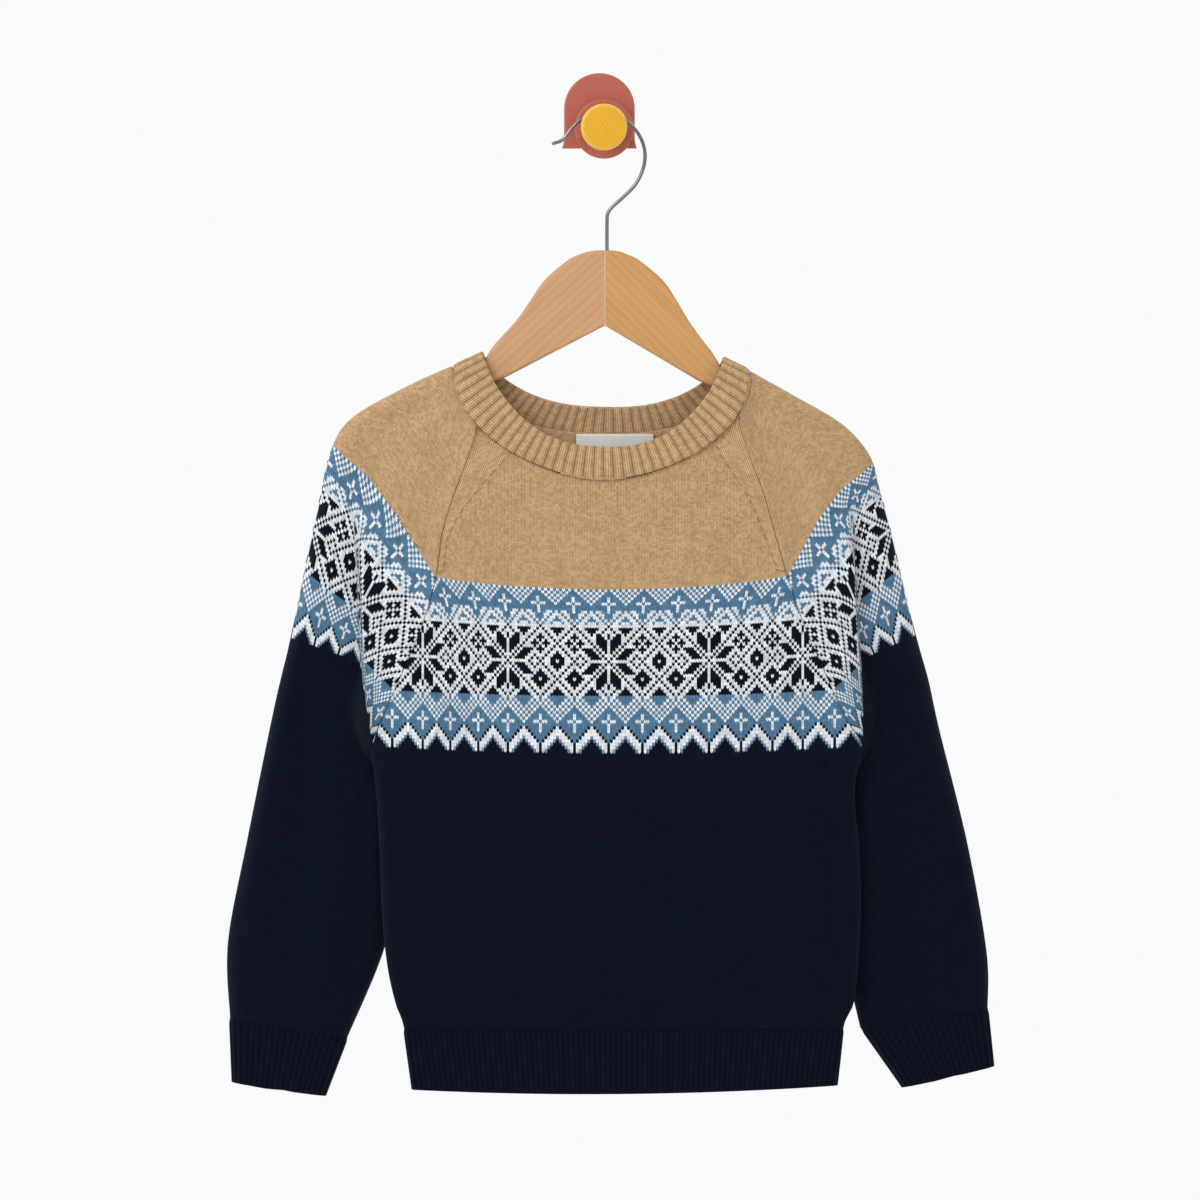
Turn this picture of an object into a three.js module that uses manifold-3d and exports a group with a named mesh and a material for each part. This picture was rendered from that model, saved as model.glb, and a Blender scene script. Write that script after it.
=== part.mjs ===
// A fair isle jumper on a wooden hanger, held by a peg on the wall.
// Millimetres, +Z up. The wall is the plane y = 0, the jumper faces -Y, and the origin lies on the
// back of the wall plate, behind the peg.
import * as THREE from 'three';
import { mergeVertices } from 'three/addons/utils/BufferGeometryUtils.js';
import Module from 'manifold-3d';

const wasm = await Module();
wasm.setup();

// Driving dimensions of the cloth
const CLOTH = 1.6; // wall of the knitted panels
const RIB_WALL = 1.7; // wall of the ribbed pieces at their valleys
const RIB_RAISE = 0.9; // how far a rib stands out
const SEAM_GAP = 0.3; // space between two sewn pieces
const HEM_HEIGHT = 38.5; // height of the hem rib
const NECK_RIBS = 76;
const HEM_RIBS = 168;
const CUFF_RIBS = 40;
const LABEL_WALL = 1;

// Landmarks of the body
const CENTRE_X = 4; // middle of the chest
const HALF_WIDTH = 155;
const UNDERARM_Z = -419;
const HEM_TOP_Z = -606;
const SHOULDER_Z = -169.7; // where the neckband meets the shoulder line, between the two shoulders
const HANGER_Y = -25; // plane of the hanger and of the shoulder fold
const SIDE_FOLD_Y = -36.5; // plane of the side seams, which hang in front of the sleeves

// Driving dimensions of the hanger and the wall hook
const WOOD_THICKNESS = 9;
const WOOD_EDGE = 1.5;
const WIRE_RADIUS = 1.2;
const WIRE_DEPTH = 20; // length of wire inside the wood
const BORE_SPARE = 2; // how much deeper than the wire its bore is
const PEG_Z = -11.2;
const PEG_RADIUS = 7.8;
const COLLAR_RADIUS = 19.8;
const CAP_RADIUS = 15.3;
const PLATE_DEPTH = 8;
const COLLAR_DEPTH = 6;
const CAP_DEPTH = 12;
const PEG_REACH = 34; // distance from the wall to the back of the cap

// Interpolation helpers
const clamp = (value, low, high) => Math.min(high, Math.max(low, value));
const mix = (a, b, t) => a + (b - a) * t;
const smooth = (t) => {
  const s = clamp(t, 0, 1);
  return s * s * (3 - 2 * s);
};
// Quarter circle: 0 at the edge of a fold, 1 where the fold has become flat cloth.
const rounded = (t) => Math.sqrt(1 - (1 - clamp(t, 0, 1)) ** 2);

// A table has a header of named columns and one row for each section.
function table(columns, rows) {
  return rows.map((row) => Object.fromEntries(columns.map((name, i) => [name, row[i]])));
}

// A smooth value of one column at a fractional row.
function columnAt(rows, name, at) {
  const last = rows.length - 1;
  const i = clamp(Math.floor(at), 0, last - 1);
  const t = clamp(at - i, 0, 1);
  const value = (k) => rows[clamp(k, 0, last)][name];
  const slope = (k) => (value(k + 1) - value(k - 1)) / 2;
  const [a, b, da, db] = [value(i), value(i + 1), slope(i), slope(i + 1)];
  const t2 = t * t;
  const t3 = t2 * t;
  return a * (2 * t3 - 3 * t2 + 1) + da * (t3 - 2 * t2 + t) + b * (3 * t2 - 2 * t3) + db * (t3 - t2);
}

// The fractional row at which a column that rises from row to row reaches a value.
function rowWhere(rows, name, value) {
  const last = rows.length - 1;
  let k = 0;
  while (k < last - 1 && value > rows[k + 1][name]) k += 1;
  let [low, high] = [k, k + 1];
  for (let step = 0; step < 24; step += 1) {
    const middle = (low + high) / 2;
    if (columnAt(rows, name, middle) < value) low = middle;
    else high = middle;
  }
  return (low + high) / 2;
}

// Outline of the body below the underarm, from the hem rib up
const BODY_SIDE = table(['z', 'left', 'right'], [
  [-646, -127, 154.5],
  [-606, -132.5, 158.5],
  [-590, -138, 165.2],
  [-565, -143.5, 168],
  [-530, -147, 170],
  [-490, -148.5, 169],
  [-455, -150.5, 166],
  [-436, -152.2, 167.5],
  [UNDERARM_Z, -153, 171],
]);

// Depth of the front face and of the back face, in the middle and beside the side seams
const FRONT_DEPTH = table(['z', 'middle', 'side'], [
  [-650, -34, -37],
  [-606, -37, -39],
  [-540, -41, -41.5],
  [-430, -43, -41],
  [-330, -43, -40.5],
  [-250, -42, -38],
  [-205, -39.5, -35],
  [-160, -36, -33.5],
]);
const BACK_DEPTH = table(['z', 'middle', 'side'], [
  [-650, -23, -33],
  [-606, -21, -33],
  [-540, -17, -33],
  [-430, -14, -32.5],
  [-385, -13, -24],
  [-340, -12.5, -15],
  [-250, -13, -13.5],
  [-205, -14.5, -15],
  [-160, -16, -16.5],
]);

// Soft folds of the body, front and back: a trough is negative, a ridge is positive.
const BODY_FOLDS = table(['topX', 'topZ', 'lowX', 'lowZ', 'width', 'front', 'back'], [
  [-118, -300, -122, -440, 16, 1.2, 0.8],
  [-96, -450, -104, -590, 20, -1.6, 1.6],
  [-40, -470, -28, -600, 24, 1.3, -1.5],
  [52, -460, 40, -596, 22, -1.2, 1.4],
  [112, -440, 122, -585, 18, 1.5, -1.4],
  [148, -470, 152, -590, 11, -1.6, 1],
]);

// How strongly a fold is felt at a point: 1 on its line, fading sideways and at both ends.
function foldWeight(fold, x, z) {
  const along = clamp((fold.topZ - z) / (fold.topZ - fold.lowZ), -0.4, 1.4);
  const lineX = mix(fold.topX, fold.lowX, along);
  const across = Math.exp(-(((x - lineX) / fold.width) ** 2));
  return across * smooth((along + 0.3) / 0.5) * smooth((1.3 - along) / 0.5);
}

function layerDepth(depthTable, x, z) {
  const at = rowWhere(depthTable, 'z', z);
  const share = clamp(Math.abs(x - CENTRE_X) / HALF_WIDTH, 0, 1) ** 2;
  return mix(columnAt(depthTable, 'middle', at), columnAt(depthTable, 'side', at), share);
}

function frontDepth(x, z) {
  const folds = BODY_FOLDS.reduce((sum, fold) => sum + fold.front * foldWeight(fold, x, z), 0);
  return layerDepth(FRONT_DEPTH, x, z) - folds;
}

const SIDE_ZONE = [36, 74]; // distances from the side between which the back sinks to the wall

function backDepth(x, z) {
  const at = rowWhere(BACK_DEPTH, 'z', z);
  const side = rowWhere(BODY_SIDE, 'z', Math.min(z, UNDERARM_Z));
  const fromLeft = x - columnAt(BODY_SIDE, 'left', side);
  const fromRight = columnAt(BODY_SIDE, 'right', side) - x;
  const inner = smooth((Math.min(fromLeft, fromRight) - SIDE_ZONE[0]) / (SIDE_ZONE[1] - SIDE_ZONE[0]));
  const folds = BODY_FOLDS.reduce((sum, fold) => sum + fold.back * foldWeight(fold, x, z), 0);
  const [deep, near] = [columnAt(BACK_DEPTH, 'middle', at), columnAt(BACK_DEPTH, 'side', at)];
  return mix(near, deep, inner) + folds * inner;
}

// The two loops of the neckband: its sewn edge and its free edge.
// x = middle + half * u, z = top - drop * (1 - |u| ^ power) ^ root, y turns over the shoulder.
const NECK = {
  sewn: {
    middle: -1.5, half: 98, top: SHOULDER_Z, frontY: -43, backY: -13.2, frontDrop: 73.8, backDrop: 44,
    frontPower: 1.5, frontRoot: 0.45, backPower: 2.2, backRoot: 0.7,
  },
  free: {
    middle: -0.6, half: 79.9, top: -161.4, frontY: -41, backY: -15, frontDrop: 61.1, backDrop: 34.6,
    frontPower: 2.2, frontRoot: 0.72, backPower: 2.2, backRoot: 0.72,
  },
};
const NECK_TILT = -1.8; // the right shoulder hangs this much lower than the middle
const NECK_TURN = 2.6; // how quickly the neckline reaches the front and back planes
const OVER_HANGER = { share: 0.52, fall: 0.11 }; // the part of the turn that bends over the wood

// A point of a neck loop. u runs from -1, left, to 1, right.
function neckPoint(loop, face, u) {
  const rest = Math.max(0, 1 - Math.abs(u) ** loop[`${face}Power`]);
  const fall = rest ** loop[`${face}Root`];
  const bend = OVER_HANGER.share * rounded(fall / OVER_HANGER.fall);
  const turn = bend + (1 - OVER_HANGER.share) * (1 - (1 - fall) ** NECK_TURN);
  const y = mix(HANGER_Y, loop[`${face}Y`], turn);
  const z = loop.top + NECK_TILT * u - loop[`${face}Drop`] * fall;
  return new THREE.Vector3(loop.middle + loop.half * u, y, z);
}

// A neck loop walked at an even pace: left shoulder, front, right shoulder, back, left shoulder.
function neckLoop(loop) {
  const samples = [];
  const STEPS = 400;
  for (let i = 0; i < STEPS; i += 1) {
    const turn = (2 * Math.PI * i) / STEPS;
    samples.push(neckPoint(loop, turn < Math.PI ? 'front' : 'back', -Math.cos(turn)));
  }
  samples.push(samples[0].clone());
  return evenPath(samples);
}

// Walks a list of points at an even pace, as a function of 0 to 1.
function evenPath(points) {
  const lengths = [0];
  for (let i = 1; i < points.length; i += 1) {
    lengths.push(lengths[i - 1] + points[i].distanceTo(points[i - 1]));
  }
  const total = lengths[lengths.length - 1];
  const at = (fraction) => {
    const target = clamp(fraction, 0, 1) * total;
    let k = 1;
    while (k < points.length - 1 && lengths[k] < target) k += 1;
    const t = (target - lengths[k - 1]) / Math.max(1e-9, lengths[k] - lengths[k - 1]);
    return points[k - 1].clone().lerp(points[k], clamp(t, 0, 1));
  };
  return { at };
}

// Sections of each sleeve, from the cuff to the neckband. out is the outer fold, low and high are the
// two lips of the crease where the body laps over the sleeve, seam is the front raglan seam, or the
// inner fold below the underarm, and back is the back raglan seam.
const SLEEVE_COLUMNS = [
  'outX', 'outZ', 'outY', 'lowX', 'lowZ', 'lowY', 'highX', 'highZ', 'highY', 'seamX', 'seamZ', 'seamY',
  'backX', 'backZ', 'backY', 'restY',
];
const F = null; // the front plane of the body, worked out from its depth table
const LEFT_SLEEVE = [
  [-247.6, -599, -18, -219, -603, -25, -196, -608, -25, -169.5, -612, -18, -169.5, -612, -18, -11],
  [-249, -550, -18, -214, -554, -27, -180, -557, -27, -146, -556, -18, -146, -556, -18, -8.5],
  [-236, -481, -18, -199, -490, -28, -165, -500, -28, -136, -508, -18, -136, -508, -18, -7],
  [-221, -407, -18, -184, -421, -29, -156, -440, -29, -133, -459, -19, -133, -459, -19, -7],
  [-214.6, -378, -18, -172, -392, -29.5, -158, -421, -30, -152, -432, -25, -152, -432, -25, -7],
  [-209, -355, -18, -162, -369, -30, -156, -403, F, -153, -419, SIDE_FOLD_Y, -153, -419, SIDE_FOLD_Y, -7],
  [-202, -322, -18, -163, -336, -30, -158, -371, F, -142, -391, F, -143, -389, -25, -7.5],
  [-195, -287, -18.5, -164, -302, -30, -159.5, -328, F, -130, -364, F, -131, -360, -17, -8],
  [-188, -255, -19.5, -165, -269, -31, -160, -285, F, -119, -337, F, -121, -331, -13.5, -9],
  [-181.3, -226, -21, -157, -252, -34, -140, -275, F, -111, -308, F, -111, -302, -13, -11],
  [-167.5, -203.5, -24, -149, -215, -34.5, -135, -234, F, -106, -276, F, -102, -264, -13, -14],
  [-131, -182.3, -25, -122, -195, -34.5, -115, -209, F, -95, -243, F, -92, -228, -13.5, -15.5],
  [-100, -167.8, -25, -98, -180, -35, -94, -195, F, -83, -215, F, -82, -195, -14, -16],
];
const RIGHT_SLEEVE = [
  [254, -593, -18, 226, -597, -25, 199, -602, -25, 169.5, -606, -18, 169.5, -606, -18, -11],
  [253.3, -556, -18, 221, -559, -27, 190, -562, -27, 159.5, -562, -18, 159.5, -562, -18, -8.5],
  [240.5, -484, -18, 206, -493, -28, 178, -502, -28, 151, -510, -18, 151, -510, -18, -7],
  [222, -409, -18, 192, -421, -29, 170, -440, -29, 152, -459, -19, 152, -459, -19, -7],
  [215, -377, -18, 182, -389, -29.5, 174, -420, -30, 169, -432, -25, 169, -432, -25, -7],
  [208, -352, -18, 171, -367, -30, 171.5, -404, F, 171, -419, SIDE_FOLD_Y, 171, -419, SIDE_FOLD_Y, -7],
  [199, -317, -18, 168.5, -335, -30, 169.5, -378, F, 159, -400, F, 159, -391, -25, -7.5],
  [191, -281, -18.5, 166, -299, -30, 166.5, -335, F, 146, -371, F, 147, -363, -17, -8],
  [183, -252, -19.5, 165, -269, -31, 163, -291, F, 132, -339, F, 135, -335, -13.5, -9],
  [176, -228, -21, 158, -252, -34, 143, -272, F, 121, -307, F, 123, -304, -13, -11],
  [157.5, -207, -24, 144, -216, -34.5, 133, -234, F, 112, -276, F, 114, -265, -13, -14],
  [125, -187.8, -25, 119, -199, -34.5, 114, -212, F, 103, -246, F, 100, -228, -13.5, -15.5],
  [96, -171.5, -25, 94, -182, -35, 91, -195, F, 88, -216, F, 85, -195, -14, -16],
];
const UNDERARM_ROW = 5;
const LAST_ROW = LEFT_SLEEVE.length - 1;

function sleeveTable(rows) {
  return table(SLEEVE_COLUMNS, rows).map((row) => {
    const filled = { ...row };
    for (const edge of ['high', 'seam']) {
      if (row[`${edge}Y`] === F) filled[`${edge}Y`] = frontDepth(row[`${edge}X`], row[`${edge}Z`]);
    }
    return filled;
  });
}
const SLEEVES = { left: sleeveTable(LEFT_SLEEVE), right: sleeveTable(RIGHT_SLEEVE) };
const SIGN = { left: -1, right: 1 };

// Side edge of a panel: the side seam below the underarm, the raglan seam of its sleeve above it.
function sideSeam(side, z) {
  const at = rowWhere(BODY_SIDE, 'z', z);
  return new THREE.Vector3(columnAt(BODY_SIDE, side, at), SIDE_FOLD_Y, z);
}

function raglanSeam(side, face, at) {
  return face === 'front' ? sleevePoint(side, at, 'seam', 0) : sleevePoint(side, at, 'back', 1);
}

// Panels: rows of cloth between a left and a right edge point, then a wall
const PANEL = {
  front: { depth: frontDepth, edgeShift: -SEAM_GAP / 2 },
  back: { depth: backDepth, edgeShift: SEAM_GAP / 2 },
};
const BODY_ROWS = 8; // rows between the hem rib and the underarm
const SIDE_RADIUS = 6; // width of the rounded fold at the side seams
const PANEL_ACROSS = [0, 0.25, 0.6, 1]; // stations of the fold, in its own width
const PANEL_MIDDLE = 16; // columns between the two folds
const CORNER_HEIGHT = 16; // the panels draw in a little more where all the seams meet
const CORNER_EASE = 2;
const HEM_BOW = 3; // how far the knitted rows sink in the middle

// Rows of the sleeve tables that the panels share above the underarm
function raglanRows() {
  const rows = [];
  for (let at = UNDERARM_ROW; at <= LAST_ROW + 1e-6; at += 0.5) rows.push(at);
  return rows;
}

function neckHeight(face, x) {
  const u = (x - NECK.sewn.middle) / NECK.sewn.half;
  return neckPoint(NECK.sewn, face, clamp(u, -1, 1)).z - NECK_CLEAR;
}

function panelRow(face, left, right, rise) {
  const { depth, edgeShift } = PANEL[face];
  const corner = Math.max(0, 1 - Math.abs(left.z - UNDERARM_Z) / CORNER_HEIGHT);
  const inset = SEAM_GAP * (1.2 + CORNER_EASE * corner);
  const [startX, endX] = [left.x + inset, right.x - inset];
  const places = PANEL_ACROSS.map((share) => startX + share * SIDE_RADIUS);
  for (let i = 1; i < PANEL_MIDDLE; i += 1) {
    places.push(mix(startX + SIDE_RADIUS, endX - SIDE_RADIUS, i / PANEL_MIDDLE));
  }
  places.push(...PANEL_ACROSS.map((share) => endX - share * SIDE_RADIUS).reverse());
  const top = { left: raglanSeam('left', face, LAST_ROW), right: raglanSeam('right', face, LAST_ROW) };
  return places.map((x) => {
    const u = (x - startX) / (endX - startX);
    const height = mix(left.z, right.z, u);
    const neckline = neckHeight(face, mix(top.left.x, top.right.x, u)) - mix(top.left.z, top.right.z, u);
    const dip = Math.min(0, neckline) * rise ** 3;
    const bow = -HEM_BOW * (1 - (2 * u - 1) ** 2) * smooth((height - HEM_TOP_Z) / 120) * (1 - rise);
    const z = height + bow + dip;
    const edge = mix(left.y, right.y, u) + edgeShift;
    const away = Math.min(x - startX, endX - x) / SIDE_RADIUS;
    return new THREE.Vector3(x, mix(edge, depth(x, z), rounded(away)), z);
  });
}

function panelGrid(face) {
  const rows = [];
  for (let i = 0; i < BODY_ROWS; i += 1) {
    const z = mix(HEM_TOP_Z, UNDERARM_Z, i / BODY_ROWS);
    rows.push(panelRow(face, sideSeam('left', z), sideSeam('right', z), 0));
  }
  for (const at of raglanRows()) {
    const rise = (at - UNDERARM_ROW) / (LAST_ROW - UNDERARM_ROW);
    rows.push(panelRow(face, raglanSeam('left', face, at), raglanSeam('right', face, at), rise));
  }
  return rows;
}

// Sleeve: one grid that is a closed tube below the underarm and open between the raglan seams above it
const OUT_RADIUS = 10; // width of the rounded outer fold
const INNER_RADIUS = 8; // width of the rounded inner fold
const SEAM_BLEND = 16; // distance over which the cloth beside a front raglan seam reaches its plane
const BACK_BLEND = 34; // the same beside a back raglan seam
const FOLD_FADE = 14; // soft folds fade out this close to an edge
const SEAM_STATIONS = [0, 0.06, 0.2, 0.5];
const CREASE_STATIONS = [0, 0.33, 0.67];
const OUTER_STATIONS = [0, 0.35, 0.65, 0.84, 0.92, 0.975];
const BACK_STATIONS = [0, 0.025, 0.08, 0.16, 0.38, 0.64, 0.82, 0.94, 1];

const SLEEVE_FOLDS = {
  left: table(['topX', 'topZ', 'lowX', 'lowZ', 'width', 'deep'], [
    [-196, -375, -200, -500, 9, 2.4],
    [-226, -440, -236, -560, 10, -1.4],
    [-176, -500, -190, -590, 11, -1.6],
  ]),
  right: table(['topX', 'topZ', 'lowX', 'lowZ', 'width', 'deep'], [
    [196, -370, 204, -480, 10, -1.8],
    [212, -545, 214, -597, 8, 2.6],
    [184, -470, 190, -560, 10, 1.6],
  ]),
};

function point3(row, name) {
  return new THREE.Vector3(row[`${name}X`], row[`${name}Y`], row[`${name}Z`]);
}

function sleeveRow(side, at) {
  const row = {};
  for (const name of SLEEVE_COLUMNS) row[name] = columnAt(SLEEVES[side], name, at);
  if (at < UNDERARM_ROW) {
    for (const axis of ['X', 'Y', 'Z']) row[`back${axis}`] = row[`seam${axis}`];
  }
  return row;
}

function sleevePoint(side, at, part, t) {
  const row = sleeveRow(side, at);
  const [out, low, high, seam, back] = ['out', 'low', 'high', 'seam', 'back'].map((n) => point3(row, n));
  const open = smooth(at - UNDERARM_ROW);
  const p = new THREE.Vector3();
  if (part === 'seam') p.lerpVectors(seam, high, t);
  if (part === 'crease') p.lerpVectors(high, low, t);
  if (part === 'outer') p.lerpVectors(low, out, t);
  if (part === 'back') p.lerpVectors(out, back, t);
  const flat = (a, b) => Math.hypot(a.x - b.x, a.z - b.z);
  if (part === 'back') {
    const fold = rounded(flat(p, out) / OUT_RADIUS);
    const nearEnd = flat(p, back);
    const end = mix(rounded(nearEnd / INNER_RADIUS), smooth(nearEnd / BACK_BLEND), open);
    p.y = mix(out.y, mix(back.y, row.restY, end), fold);
  } else {
    const layer = part === 'seam' ? high.y : part === 'outer' ? low.y : mix(high.y, low.y, smooth(t));
    const nearSeam = flat(p, seam);
    const start = mix(rounded(nearSeam / INNER_RADIUS), smooth(nearSeam / SEAM_BLEND), open);
    p.y = mix(out.y, mix(seam.y, layer, start), rounded(flat(p, out) / OUT_RADIUS));
    const away = Math.min(flat(p, out), nearSeam) / FOLD_FADE;
    const folds = SLEEVE_FOLDS[side].reduce((sum, f) => sum + f.deep * foldWeight(f, p.x, p.z), 0);
    p.y += folds * smooth(away);
  }
  return followNeck(side, at, part, t, p);
}

const NECK_CLEAR = 0.75; // the straight steps of the sleeve stay this far outside the curved neckband

// The last rows of a sleeve bend until they lie along the neckband.
function followNeck(side, at, part, t, p) {
  const share = smooth(at - (LAST_ROW - 1));
  if (share === 0) return p;
  const row = sleeveRow(side, LAST_ROW);
  const shares = { seam: [0, 0.55], crease: [0.55, 0.8], outer: [0.8, 1], back: [1, 2] }[part];
  const s = mix(shares[0], shares[1], t);
  const face = s <= 1 ? 'front' : 'back';
  const around = s <= 1 ? s : 2 - s;
  const edge = s <= 1 ? row.seamX : row.backX;
  const edgeU = (edge - NECK.sewn.middle) / NECK.sewn.half;
  const startAngle = Math.acos(clamp(Math.abs(edgeU), 0, 1));
  const u = SIGN[side] * Math.cos(startAngle * (1 - around));
  const q = neckPoint(NECK.sewn, face, u);
  q.z -= NECK_CLEAR;
  q.x += SIGN[side] * NECK_CLEAR;
  return p.lerp(q, share);
}

function sleeveGrid(side) {
  const rows = [];
  for (let at = 0; at < UNDERARM_ROW; at += 0.5) rows.push(at);
  rows.push(...raglanRows());
  const grid = rows.map((at) => [
    ...SEAM_STATIONS.map((t) => sleevePoint(side, at, 'seam', t)),
    ...CREASE_STATIONS.map((t) => sleevePoint(side, at, 'crease', t)),
    ...OUTER_STATIONS.map((t) => sleevePoint(side, at, 'outer', t)),
    ...BACK_STATIONS.map((t) => sleevePoint(side, at, 'back', t)),
  ]);
  const closedRows = rows.filter((at) => at <= UNDERARM_ROW + 1e-6).length;
  for (let i = 0; i < closedRows; i += 1) {
    const ends = grid[i];
    ends[ends.length - 1] = ends[0].clone();
  }
  return { grid, closedRows };
}

// Unit normals out of the cloth. A closed row wraps round, and edgeNormal sets those of a sewn edge, so
// that the two walls of a seam end in parallel faces.
function gridNormals(grid, closedRows, outSide, edgeNormal) {
  const lastRow = grid.length - 1;
  return grid.map((row, i) => row.map((point, j) => {
    const lastColumn = row.length - 1;
    const sewn = edgeNormal(i, j === 0 ? 'start' : j === lastColumn ? 'end' : 'middle');
    if (sewn) return new THREE.Vector3(...sewn);
    const wrap = i < closedRows;
    const before = j > 0 ? row[j - 1] : wrap ? row[lastColumn - 1] : point;
    const after = j < lastColumn ? row[j + 1] : wrap ? row[1] : point;
    const below = grid[Math.max(0, i - 1)][j];
    const above = grid[Math.min(lastRow, i + 1)][j];
    const across = after.clone().sub(before);
    const upward = above.clone().sub(below);
    return across.cross(upward).normalize().multiplyScalar(outSide);
  }));
}

// Collects triangles and makes one closed mesh of them, facing outward.
class Shell {
  constructor() {
    this.positions = [];
  }

  triangle(a, b, c) {
    for (const p of [a, b, c]) this.positions.push(p.x, p.y, p.z);
  }

  quad(a, b, c, d) {
    this.triangle(a, b, c);
    this.triangle(a, c, d);
  }

  geometry() {
    const geometry = new THREE.BufferGeometry();
    geometry.setAttribute('position', new THREE.Float32BufferAttribute(this.positions, 3));
    return outward(mergeVertices(geometry, 1e-3));
  }
}

// Turns every face over if the mesh encloses a negative volume, and drops faces without area.
function outward(geometry) {
  const position = geometry.getAttribute('position');
  const index = geometry.getIndex();
  const kept = [];
  let volume = 0;
  const [a, b, c] = [new THREE.Vector3(), new THREE.Vector3(), new THREE.Vector3()];
  for (let i = 0; i < index.count; i += 3) {
    const [ia, ib, ic] = [index.getX(i), index.getX(i + 1), index.getX(i + 2)];
    if (ia === ib || ib === ic || ia === ic) continue;
    a.fromBufferAttribute(position, ia);
    b.fromBufferAttribute(position, ib);
    c.fromBufferAttribute(position, ic);
    volume += a.dot(b.clone().cross(c)) / 6;
    kept.push([ia, ib, ic]);
  }
  geometry.setIndex(kept.flatMap(([ia, ib, ic]) => (volume > 0 ? [ia, ib, ic] : [ia, ic, ib])));
  geometry.computeVertexNormals();
  return geometry;
}

// Cloth: the outer grid, the inner grid one wall behind it, and the cut edges between them
function clothWall(grid, closedRows, thickness, outSide, edgeNormal = () => null) {
  const normals = gridNormals(grid, closedRows, outSide, edgeNormal);
  const inner = grid.map((row, i) => row.map((point, j) => (
    point.clone().addScaledVector(normals[i][j], -thickness))));
  for (let i = 0; i < closedRows; i += 1) inner[i][inner[i].length - 1] = inner[i][0].clone();
  const shell = new Shell();
  const lastRow = grid.length - 1;
  for (let i = 0; i < lastRow; i += 1) {
    const lastColumn = grid[i].length - 1;
    for (let j = 0; j < lastColumn; j += 1) {
      shell.quad(grid[i][j], grid[i][j + 1], grid[i + 1][j + 1], grid[i + 1][j]);
      shell.quad(inner[i][j], inner[i + 1][j], inner[i + 1][j + 1], inner[i][j + 1]);
    }
    if (i + 1 < closedRows) continue;
    shell.quad(grid[i][0], grid[i + 1][0], inner[i + 1][0], inner[i][0]);
    shell.quad(grid[i][lastColumn], inner[i][lastColumn], inner[i + 1][lastColumn], grid[i + 1][lastColumn]);
  }
  for (const [i, turned] of [[0, false], [lastRow, true]]) {
    for (let j = 0; j < grid[i].length - 1; j += 1) {
      const edge = [grid[i][j], inner[i][j], inner[i][j + 1], grid[i][j + 1]];
      shell.quad(...(turned ? edge.reverse() : edge));
    }
  }
  return shell.geometry();
}

// Sewn edges: sideways at the side seams and the underarm, along the depth at the raglan seams
function panelEdges(depthSign) {
  return (i, edge) => {
    if (edge === 'middle') return null;
    if (i > BODY_ROWS) return [0, depthSign, 0];
    return [edge === 'start' ? -1 : 1, 0, 0];
  };
}

function sleeveEdges(side, closedRows) {
  return (i, edge) => {
    if (edge === 'middle' || i < closedRows - 1) return null;
    if (i === closedRows - 1) return [-SIGN[side], 0, 0];
    return [0, edge === 'start' ? -1 : 1, 0];
  };
}

// Ribbed tube: at each level a closed loop, with raised ribs outside and a plain inside.
// crest lists where the raised points of one rib lie between its two valleys.
function ribbedTube(loops, ribs, crest) {
  const shell = new Shell();
  const pointAt = (level, turn) => {
    const loop = loops[level];
    const other = loops[level === 0 ? 1 : level - 1];
    const step = 0.25 / ribs;
    const here = loop.at(turn);
    const across = loop.at(turn + step).sub(loop.at(turn - step));
    const along = other.at(turn).sub(here).multiplyScalar(level === 0 ? 1 : -1);
    const out = across.cross(along).normalize();
    return { here, out };
  };
  const outside = loops.map((_, level) => {
    const row = [];
    for (let k = 0; k < ribs; k += 1) {
      const valley = pointAt(level, k / ribs);
      row.push({ p: valley.here, valley: true, out: valley.out });
      for (const share of crest) {
        const top = pointAt(level, (k + share) / ribs);
        row.push({ p: top.here.addScaledVector(top.out, RIB_RAISE) });
      }
    }
    return row;
  });
  const inside = outside.map((row) => row.filter((e) => e.valley).map((e) => (
    e.p.clone().addScaledVector(e.out, -RIB_WALL))));
  const count = outside[0].length;
  for (let level = 0; level + 1 < loops.length; level += 1) {
    for (let j = 0; j < count; j += 1) {
      const next = (j + 1) % count;
      const [low, high] = [outside[level], outside[level + 1]];
      shell.quad(low[j].p, low[next].p, high[next].p, high[j].p);
    }
    for (let k = 0; k < ribs; k += 1) {
      const next = (k + 1) % ribs;
      const [low, high] = [inside[level], inside[level + 1]];
      shell.quad(low[k], high[k], high[next], low[next]);
    }
  }
  const per = crest.length + 1;
  for (const level of [0, loops.length - 1]) {
    for (let k = 0; k < ribs; k += 1) {
      const next = (k + 1) % ribs;
      const edge = [inside[level][k], inside[level][next], outside[level][(next * per) % count].p];
      for (let c = per - 1; c >= 0; c -= 1) edge.push(outside[level][k * per + c].p);
      for (let c = 2; c < edge.length; c += 1) {
        const corner = level === 0 ? [edge[0], edge[c - 1], edge[c]] : [edge[0], edge[c], edge[c - 1]];
        shell.triangle(...corner);
      }
    }
  }
  return shell.geometry();
}

// A closed loop through points, walked at an even pace and past its end.
const wrapped = (turn) => ((turn % 1) + 1) % 1;

function closedLoop(points) {
  const path = evenPath([...points, points[0].clone()]);
  return { at: (turn) => path.at(wrapped(turn)) };
}

// Section of the body where the panels end, left to right in front and back again
function bodySection() {
  const front = panelGrid('front')[0];
  const back = panelGrid('back')[0];
  const fine = [];
  const STEPS = 60;
  const frontPath = evenPath(front);
  const backPath = evenPath([...back].reverse());
  for (let i = 0; i < STEPS; i += 1) fine.push(frontPath.at(i / STEPS));
  for (let i = 0; i < STEPS; i += 1) fine.push(backPath.at(i / STEPS));
  return fine;
}

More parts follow.
